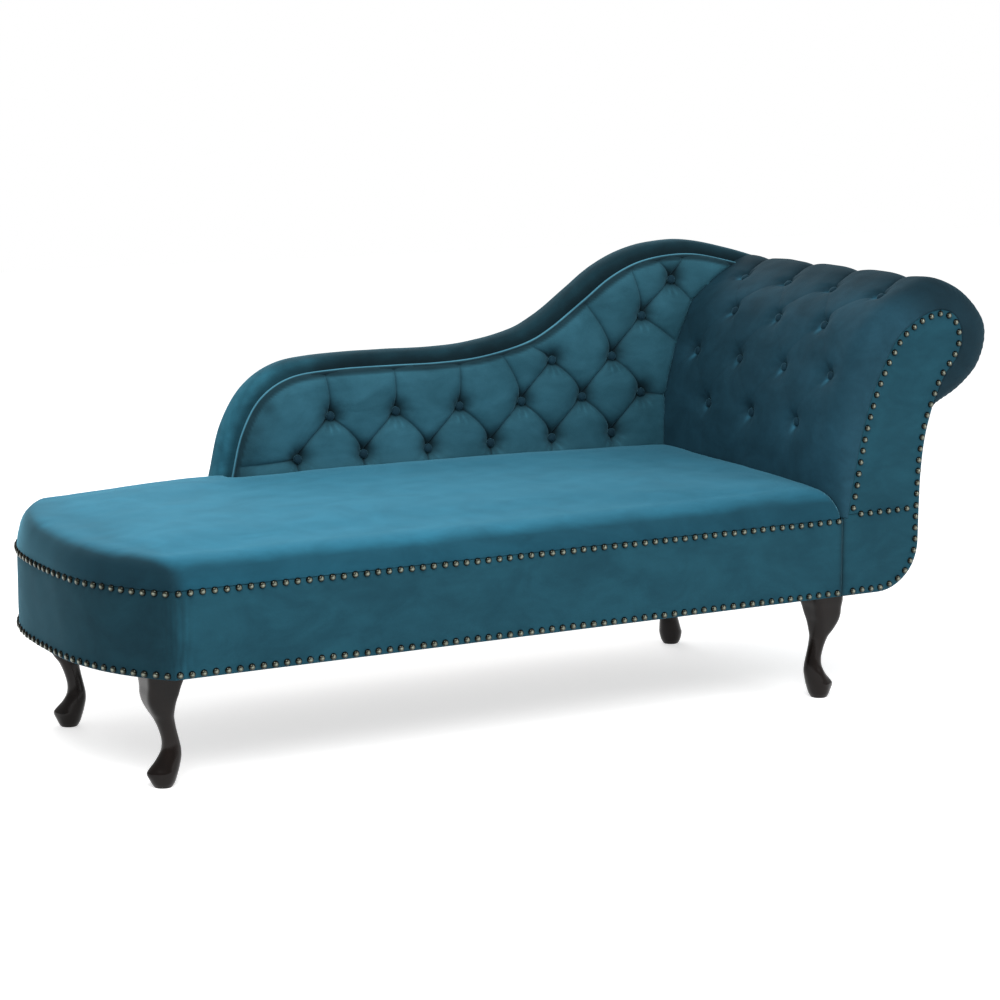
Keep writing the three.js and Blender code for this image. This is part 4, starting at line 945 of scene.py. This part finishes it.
HEAD_STEP = 4.5
HEAD_ROUND, REAR_ROUND, PAD_REAR = 50, 14, 649.4
head_round = HEAD_ROUND * (1 - np.cos(np.linspace(0, np.pi / 2, 13)))
y_values = np.r_[head_round[1:], np.arange(HEAD_ROUND + HEAD_STEP, 636, HEAD_STEP), 640, 644, 647]
s_values = np.arange(HEAD_STEP / 2, PAD_LENGTH, HEAD_STEP)
corners = [(0, 0), (PAD_REAR, 0), (PAD_REAR, PAD_LENGTH), (0, PAD_LENGTH), (0, 0)]
rim = []
for a, b in zip(corners, corners[1:]):
    steps = int(max(abs(b[0] - a[0]), abs(b[1] - a[1])) / HEAD_STEP)
    t = (np.linspace(0, 1, steps, endpoint=False))[:, None]
    rim.append(np.array(a) * (1 - t) + np.array(b) * t)
flat, faces = net(np.vstack(rim), y_values, s_values, head_runs + crest_runs, 4.5)


def head_share(spots, fine, swell=0.0):
    """How far out the pad's face lies at each spot, as a share of the pad's thickness."""
    y, s = spots[:, 0], spots[:, 1]
    thick = pad_thickness(s)
    away, strength = near(spots, head_runs)
    over, crest = near(spots, crest_runs)
    depth = 3.4 * strength * np.exp(-away / 20) + 19 * pockets(spots, head_buttons, 18)
    depth = np.maximum(depth, 10 * crest * np.exp(-over / 17))
    if fine:
        depth += 1.0 * strength * np.exp(-away / 3) + puckers(spots, head_buttons, 19, 7, 0.8)
        depth += 3.4 * crest * np.exp(-over / 2.8) + 0.7 * noise(spots, 70, 9)
    depth = (depth - swell) * np.clip(y / 60, 0, 1) * np.clip((DEPTH - y) / REAR_ROUND, 0, 1)
    depth *= np.clip(thick / 40, 0, 1)
    if fine:
        gathers = np.sin(2 * np.pi * s / 15 + 1.5 * noise(spots, 60, 57)) * step(s, 500, 620)
        depth += 0.9 * gathers * bell(y - 16, 14)
    ends = (0.05 + 0.95 * rolled(y, HEAD_ROUND)) * (0.6 + 0.4 * rolled(PAD_REAR + GAP - y, REAR_ROUND))
    return (1 - depth / thick) * ends


def head_held(p):
    y, s = flat[:, 0], flat[:, 1]
    best = np.full(len(p), 1.0)
    centre = pad_spot(s, y, head_share(flat, False))
    tree = KDTree(len(centre))
    for i, c in enumerate(centre):
        tree.insert(Vector(c), i)
    tree.balance()
    level = (by_button(flat, head_buttons) < HELD) * 1.0
    level = np.maximum(level, 0.3 * bell(near(flat, head_runs)[0], 9))
    level = np.maximum(level, 0.6 * bell(near(flat, crest_runs)[0], 9))
    level = np.maximum(level, (y < 14) | (y > 640) | (s < 60) | (s > PAD_LENGTH - 12))
    for i, q in enumerate(p):
        _, index, away = tree.find(Vector(q))
        best[i] = level[index] if away < 9 else 1.0
    return best


front = pad_spot(flat[:, 1], flat[:, 0], head_share(flat, False))
rear = pad_spot(flat[:, 1], flat[:, 0], np.full(len(flat), -0.02))
turned_faces = [tuple(reversed(f)) for f in faces]
shell = stuffed(*backed(front, rear, turned_faces), head_held, 6.0, 5.0, 7.0)
swell = np.clip(laid(shell, front, unit(front - rear)), -3, 8) * (flat[:, 0] > 16)
front = pad_spot(flat[:, 1], flat[:, 0], head_share(flat, True, swell))
head_skin = backed(front, rear, turned_faces)
head = piece("head_quilt", *head_skin, head_velvet, "velvet", "head_tufted_cover", "head_foam")
y, s = flat[:, 0], flat[:, 1]
away, strength = near(flat, head_runs)
# Painted shade on the head pad: darker in the button pockets, along the pleats and crests, over the top of
# the crest and towards the rear; painted light low on the pad.
painted_shade = 0.5 * pockets(flat, head_buttons, 15) + 0.12 * strength * np.exp(-away / 5)
painted_shade = np.maximum(painted_shade, 0.26 * np.exp(-near(flat, crest_runs)[0] / 4))
light = 1.14 + 0.14 * step(-s, -260, -60) + 0.1 * noise(flat, 110, 56) - 0.12 * step(y, 60, 300)
face = (1 - painted_shade) * (1 - 0.55 * step(s, 400, 540)) * light
# Painted glints just under each button.
for k, b in enumerate(head_buttons):
    turned = 0.5 * math.sin(k * 2.3)
    a, c = y - b[0] - 5, s - b[1] + 9
    across, down = a * math.cos(turned) + c * math.sin(turned), c * math.cos(turned) - a * math.sin(turned)
    painted_glint = 2.4 * (0.75 + 0.25 * math.cos(k * 1.9))
    face += painted_glint * np.exp(-((across / 5) ** 2) - ((down / 9) ** 2))
shade(head, np.r_[face, face])

# Flat covers: apron, panels, outer arm and rear of the back


def plan_path(pace):
    """The base's outline from the head end along the front, round the foot end and back along the rear."""
    y = np.linspace(0, DEPTH, 220)
    bow = np.column_stack([foot_edge(y), y])
    path = np.vstack([[(LENGTH - GAP, 0)], bow, [(LENGTH - GAP, DEPTH)]])
    return even(path, int(lengths(path)[-1] / pace))


def joint_shadow(spots):
    """The dark line where the seat's base meets the head arm's panel."""
    return 1 - 0.8 * np.exp(-np.abs(spots[:, 0] - LENGTH) / 4)


path = plan_path(4.0)
path_normals = normals(path)
along = lengths(path)
heights = np.r_[BOTTOM + 0.3, BOTTOM + 1.5, np.arange(BOTTOM + 5, SEAM - 4, 5), SEAM - 1.5, SEAM - 0.3]
A, H = np.meshgrid(along, heights)
flat = np.column_stack([A.ravel(), H.ravel()])
corner_at = along[np.argmin(np.hypot(path[:, 0], path[:, 1]))]
folds = bell(flat[:, 0] - corner_at, 26) * np.sin(flat[:, 0] * 0.5) * 1.2
wave = 0.7 * noise(flat, 90, 12) + folds
tuck = 1.6 * np.exp(-(H.ravel() - BOTTOM) / 3) + 1.6 * np.exp(-(SEAM - H.ravel()) / 3)
inset = (tuck - np.clip(wave, -1, 1) * 0.6).reshape(A.shape)
inward = -at(path_normals, A.ravel(), along).reshape(*A.shape, 2)
spot = at(path, A.ravel(), along).reshape(*A.shape, 2)
front = np.dstack([spot + inward * inset[..., None], H])
rear = np.dstack([spot + inward * 3, H])
apron = piece("seat_apron_cloth", *slab(front, rear), side_velvet, "velvet", "seat_apron")
spots = skin(apron)[0]
gathers = 0.5 + 0.5 * np.sin(spots[:, 0] * 1.1 + 2 * noise(spots, 80, 63))
light = 1 + 0.4 * bell(spots[:, 0] - 12, 16) * gathers
light *= 1 - 0.48 * step(-spots[:, 0] - 14 * noise(spots, 60, 58), -40, 10)
shade(apron, light * (1 + 0.06 * noise(spots, 140, 59)) * joint_shadow(spots))

split = SEAM + 6
arm_side = side_line(0, LENGTH + GAP)
panel_outline = np.vstack([[(LENGTH + GAP, SEAM)], even(edge_line, 90), arm_side[1:]])


def clipped(outline, height, above):
    """The part of an outline above or below a height."""
    kept = []
    for a, b in zip(outline, np.roll(outline, -1, axis=0)):
        ina, inb = (a[1] > height) == above, (b[1] > height) == above
        if ina:
            kept.append(a)
        if ina != inb:
            kept.append(a + (b - a) * (height - a[1]) / (b[1] - a[1]))
    return np.array(kept)


def panel_place(flat):
    bulge = 0.8 * noise(flat, 110, 21) + 0.4 * np.sin(flat[:, 1] / 17 + 2 * noise(flat, 160, 4))
    return np.column_stack([flat[:, 0], 0.4 - 0.5 * bulge, flat[:, 1]])


PANELS = [("head_panel_upper", "head_scroll_panel", True), ("head_panel_lower", "head_base_panel", False)]
for name, node_name, above in PANELS:
    cut_line = clipped(panel_outline, split + (0.2 if above else -0.2), above)
    panel_skin = sheet(cut_line, 5, panel_place, 2.6, (0, 1, 0))
    flat_panel = piece(name, *panel_skin, side_velvet, "velvet", node_name)
    spots = skin(flat_panel)[0]
    shade(flat_panel, (0.95 + 0.05 * noise(spots, 130, 60)) * joint_shadow(spots))

cover_line = even(side_line(0, LENGTH + 14)[1:], 120)
cover_in = normals(cover_line)
y_cover = np.r_[3.4, 5, np.arange(10, 640, 10), 645, 649.2]
C, Y = np.meshgrid(np.arange(len(cover_line)), y_cover, indexing="ij")
flat = np.column_stack([C.ravel() * 4.0, Y.ravel()])
push = (0.7 * noise(flat, 150, 31) + 0.6).reshape(C.shape)
line_x, line_z = cover_line[C][..., 0], cover_line[C][..., 1]
in_x, in_z = cover_in[C][..., 0], cover_in[C][..., 1]
front, rear = (np.dstack([line_x - in_x * depth, Y, line_z - in_z * depth]) for depth in (push, 3))
outer = piece("head_outer_cloth", *slab(front, rear), side_velvet, "velvet", "head_outer_cover")
shade(outer, 1 + 0.06 * noise(skin(outer)[0], 150, 61))

rear_edge = even(back_line + 0.5 * normals(back_line), 300)
rear_outline = np.vstack([rear_edge, [(back_line[-1][0] - GAP, BOTTOM)]])


def rear_place(flat):
    bulge = 0.9 * noise(flat, 260, 41)
    return np.column_stack([flat[:, 0], 676.6 - 0.4 * np.clip(bulge + 1, 0, 2), flat[:, 1]])


rear_sheet = sheet(rear_outline, 12, rear_place, 2.4, (0, -1, 0))
rear_cloth = piece("back_outer_cloth", *rear_sheet, side_velvet, "velvet", "back_outer_cover")
shade(rear_cloth, 1 + 0.06 * noise(skin(rear_cloth)[0], 170, 62))

# Nails


def dome(centre, out, radius, rise, around, rings):
    """A domed head on its back plane."""
    out = np.asarray(out, float) / np.linalg.norm(out)
    side = np.cross(out, (0.0, 0.3, 1.0) if abs(out[2]) < 0.9 else (1.0, 0.0, 0.0))
    side /= np.linalg.norm(side)
    up = np.cross(out, side)
    points = []
    turn = np.linspace(0, 2 * np.pi, around, endpoint=False)
    for k in range(rings):
        angle = np.pi / 2 * k / rings
        r, h = radius * np.cos(angle) ** 0.8, rise * np.sin(angle)
        points.append(centre + out * h + r * (np.outer(np.cos(turn), side) + np.outer(np.sin(turn), up)))
    points = np.vstack([*points, centre + out * rise])
    last, top = (rings - 1) * around, rings * around
    faces = bands(rings, around)
    faces += [(last + j, last + (j + 1) % around, top) for j in range(around)]
    faces.append(tuple(range(around - 1, -1, -1)))
    return points, faces


def paced(line, pitch):
    total = lengths(line)[-1]
    count = round(total / pitch)
    s = (np.arange(count) + 0.5) / count * total
    return at(line, s), at(normals(line), s, lengths(line))


rng = np.random.default_rng(7)
NAIL_PITCH, NAIL_RADIUS, NAIL_HEIGHT = 21.3, 6.1, 4.3
NAIL_AROUND, NAIL_RINGS = 14, 5
NAIL_IN = 9


def nail_row(name, node_name, line, place):
    """A row of nails along a line. place gives each nail's centre and way."""
    heads = []
    for spot, out in zip(*paced(line, NAIL_PITCH)):
        centre, way = place(spot, out)
        centre, way = centre + rng.normal(0, 0.25, 3), way + rng.normal(0, 0.05, 3)
        heads.append(dome(centre, way, NAIL_RADIUS, NAIL_HEIGHT, NAIL_AROUND, NAIL_RINGS))
    row = piece(name, *together(heads), bronze, "nails", node_name)
    # Dark patina and painted dark reflection at each nail's rim, a painted highlight on its polished crown.
    rim_patina_crown_highlight = np.r_[np.repeat(np.arange(NAIL_RINGS) / NAIL_RINGS, NAIL_AROUND), 1]
    shade(row, np.tile(0.03 + 0.85 * rim_patina_crown_highlight**4, len(heads)))


def on_apron(height):
    return lambda spot, out: (np.r_[spot + 0.4 * out, height], np.r_[out, 0.0])


def on_panel(spot, _):
    return np.array([spot[0], -0.4, spot[1]]), np.array([0.0, -1.0, 0.0])


base_path = plan_path(3.0)
base_path = base_path[: len(base_path) - int(np.argmax(base_path[::-1, 0] < 20))]
nail_row("nails_upper", "seat_upper_nail_trim", base_path, on_apron(SEAM - 4))
nail_row("nails_lower", "seat_lower_nail_trim", base_path, on_apron(BOTTOM + 8))
scroll_in = edge_line - NAIL_IN * normals(edge_line)
scroll_in = scroll_in[(scroll_in[:, 1] > split) & (np.arange(len(scroll_in)) < len(scroll_in) - 14)]
run = np.vstack([scroll_in, side_line(NAIL_IN, LENGTH + 14)[3:]])
nail_row("nails_panel", "head_panel_nail_trim", run, on_panel)
nail_row("nails_cross", "head_cross_nail_trim", np.array([(1367.0, split), (1496.0, split)]), on_panel)

# Covered buttons

BUTTON_RADIUS, BUTTON_HEIGHT, BUTTON_SEAT, BUTTON_DEPTH = 8.8, 6.0, 613.5, 15
BUTTON_AROUND, BUTTON_RINGS = 20, 6


def button_row(name, node_name, seats):
    heads = [dome(c, o, BUTTON_RADIUS, BUTTON_HEIGHT, BUTTON_AROUND, BUTTON_RINGS) for c, o in seats]
    piece(name, *together(heads), button_velvet, "buttons", node_name)


back_rows = {"lower_row": BACK_ROWS[0], "middle_row": BACK_ROWS[1], "rise": sum(BACK_ROWS[2:], [])}
for word, row in back_rows.items():
    seats = [(np.array([x, BUTTON_SEAT, z]), (0, -1, 0)) for x, z in row]
    button_row(f"buttons_back_{word}", f"back_buttons_{word}", seats)
for k, row in enumerate(HEAD_ROWS):
    seats = []
    for y, s in row:
        low = pad_spot([s], y, 1 - BUTTON_DEPTH / pad_thickness([s]))[0]
        seats.append((low, pad_spot([s], y, [1.0])[0] - low))
    button_row(f"buttons_head_{k + 1}", f"head_buttons_row_{k + 1}", seats)

# Cabriole legs: height, sway and width as shares, and how square the leg is there

LEG = [
    (1, 0.12, 1.1, 1), (0.95, 0.13, 1.09, 1), (0.88, 0.19, 1, 0.85), (0.81, 0.25, 0.95, 0.6),
    (0.74, 0.27, 0.86, 0.35), (0.66, 0.16, 0.72, 0.15), (0.59, 0, 0.6, 0), (0.5, -0.19, 0.52, 0),
    (0.4, -0.36, 0.51, 0), (0.32, -0.4, 0.58, 0), (0.25, -0.3, 0.68, 0), (0.17, -0.1, 0.76, 0),
    (0.12, 0.04, 0.8, 0), (0.05, 0.1, 0.7, 0), (0.012, 0.12, 0.58, 0), (0, 0.12, 0.52, 0),
]
LEG_HALF, LEG_HEIGHT, LEG_AROUND = 29, 197.6, 48
LEG_PLACES = [
    ("front_foot_end", 12, 80, 180), ("rear_foot_end", 12, 528, 140),
    ("front_head_end", 1316, 40, 0), ("rear_head_end", 1316, 550, 40),
]


def leg_skin():
    turn = np.linspace(0, 2 * np.pi, LEG_AROUND, endpoint=False)
    rings = []
    for height, sway, width, square in smooth(LEG, 5)[::-1]:
        bulge = 0.34 * math.exp(-(((height - 0.14) / 0.08) ** 2))
        toe = 1 + bulge * np.maximum(np.cos(turn), 0) ** 6
        power = 2 + 7 * max(square, 0)
        reach = 1 / (np.abs(np.cos(turn)) ** power + np.abs(np.sin(turn)) ** power) ** (1 / power)
        r = LEG_HALF * width * toe * reach
        level = np.full(LEG_AROUND, height * LEG_HEIGHT)
        rings.append(np.column_stack([LEG_HALF * sway + r * np.cos(turn), r * np.sin(turn), level]))
    return loft(rings)


leg_points, leg_faces = leg_skin()
for name, x, y, turned in LEG_PLACES:
    c, s = math.cos(math.radians(turned)), math.sin(math.radians(turned))
    spun = leg_points @ np.array([(c, s, 0), (-s, c, 0), (0, 0, 1)]) + (x, y, 0)
    piece(f"cabriole_{name}", spun, leg_faces, espresso, "legs", f"leg_{name}")

# Floor, light and world

bpy.context.scene.view_settings.view_transform = "Standard"

FLOOR_HALF, FLOOR_GLOW, WORLD_LEVEL = 9, 0.58, 0.5


def seen_by(tree, *rays):
    """1 where a surface is seen by one of two kinds of ray, else 0."""
    kinds = node(tree, "ShaderNodeLightPath").outputs
    return fed(node(tree, "ShaderNodeMath", operation="MAXIMUM"), *(kinds[ray] for ray in rays))


floor_mesh = bpy.data.meshes.new("floor")
corners = FLOOR_HALF * np.array([(-1, -1, 0), (1, -1, 0), (1, 1, 0), (-1, 1, 0)])
floor_mesh.from_pydata(corners.tolist(), [], [(0, 1, 2, 3)])
floor_paint, tree, shader = nodes_of("floor_paint")
settle(shader, {"Base Color": grey(0.9), "Roughness": 0.9})
seen = seen_by(tree, "Is Camera Ray", "Is Glossy Ray")
strength = fed(node(tree, "ShaderNodeMath", operation="MULTIPLY"), seen, FLOOR_GLOW)
glow = node(tree, "ShaderNodeEmission", Color=grey(1), Strength=strength)
both_lights = fed(node(tree, "ShaderNodeAddShader"), shader.outputs[0], glow.outputs[0])
feed(tree.nodes["Material Output"].inputs["Surface"], both_lights)
floor_mesh.materials.append(floor_paint)
in_scene("floor", floor_mesh)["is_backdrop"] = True

world = bpy.data.worlds.new("world")
bpy.context.scene.world = world
world.use_nodes = True
tree = world.node_tree
dim = settle(tree.nodes["Background"], {"Color": grey(1), "Strength": WORLD_LEVEL})
white = node(tree, "ShaderNodeBackground", Color=grey(1), Strength=1.0)
seen = seen_by(tree, "Is Camera Ray", "Is Transmission Ray")
background = fed(node(tree, "ShaderNodeMixShader"), seen, dim.outputs[0], white.outputs[0])
feed(tree.nodes["World Output"].inputs["Surface"], background)


# Each lamp: place and aim in metres, size in metres, power in watts

LAMPS = [
    ("key", (-1.6, -2.6, 3.2), (0, 0, 0.4), 2.2, 120),
    ("fill", (2.4, -3.2, 1.8), (0, 0, 0.4), 2.6, 45),
    ("rear", (0.6, 2.6, 2.6), (0, 0, 0.5), 2.4, 45),
]
for name, place, aim, size, power in LAMPS:
    light = bpy.data.lights.new(name, "AREA")
    light.shape, light.size, light.energy = "SQUARE", size, power
    obj = in_scene(name, light)
    obj.location = place
    obj.rotation_mode = "QUATERNION"
    obj.rotation_quaternion = (Vector(aim) - Vector(place)).to_track_quat("-Z", "Y")

low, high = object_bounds()
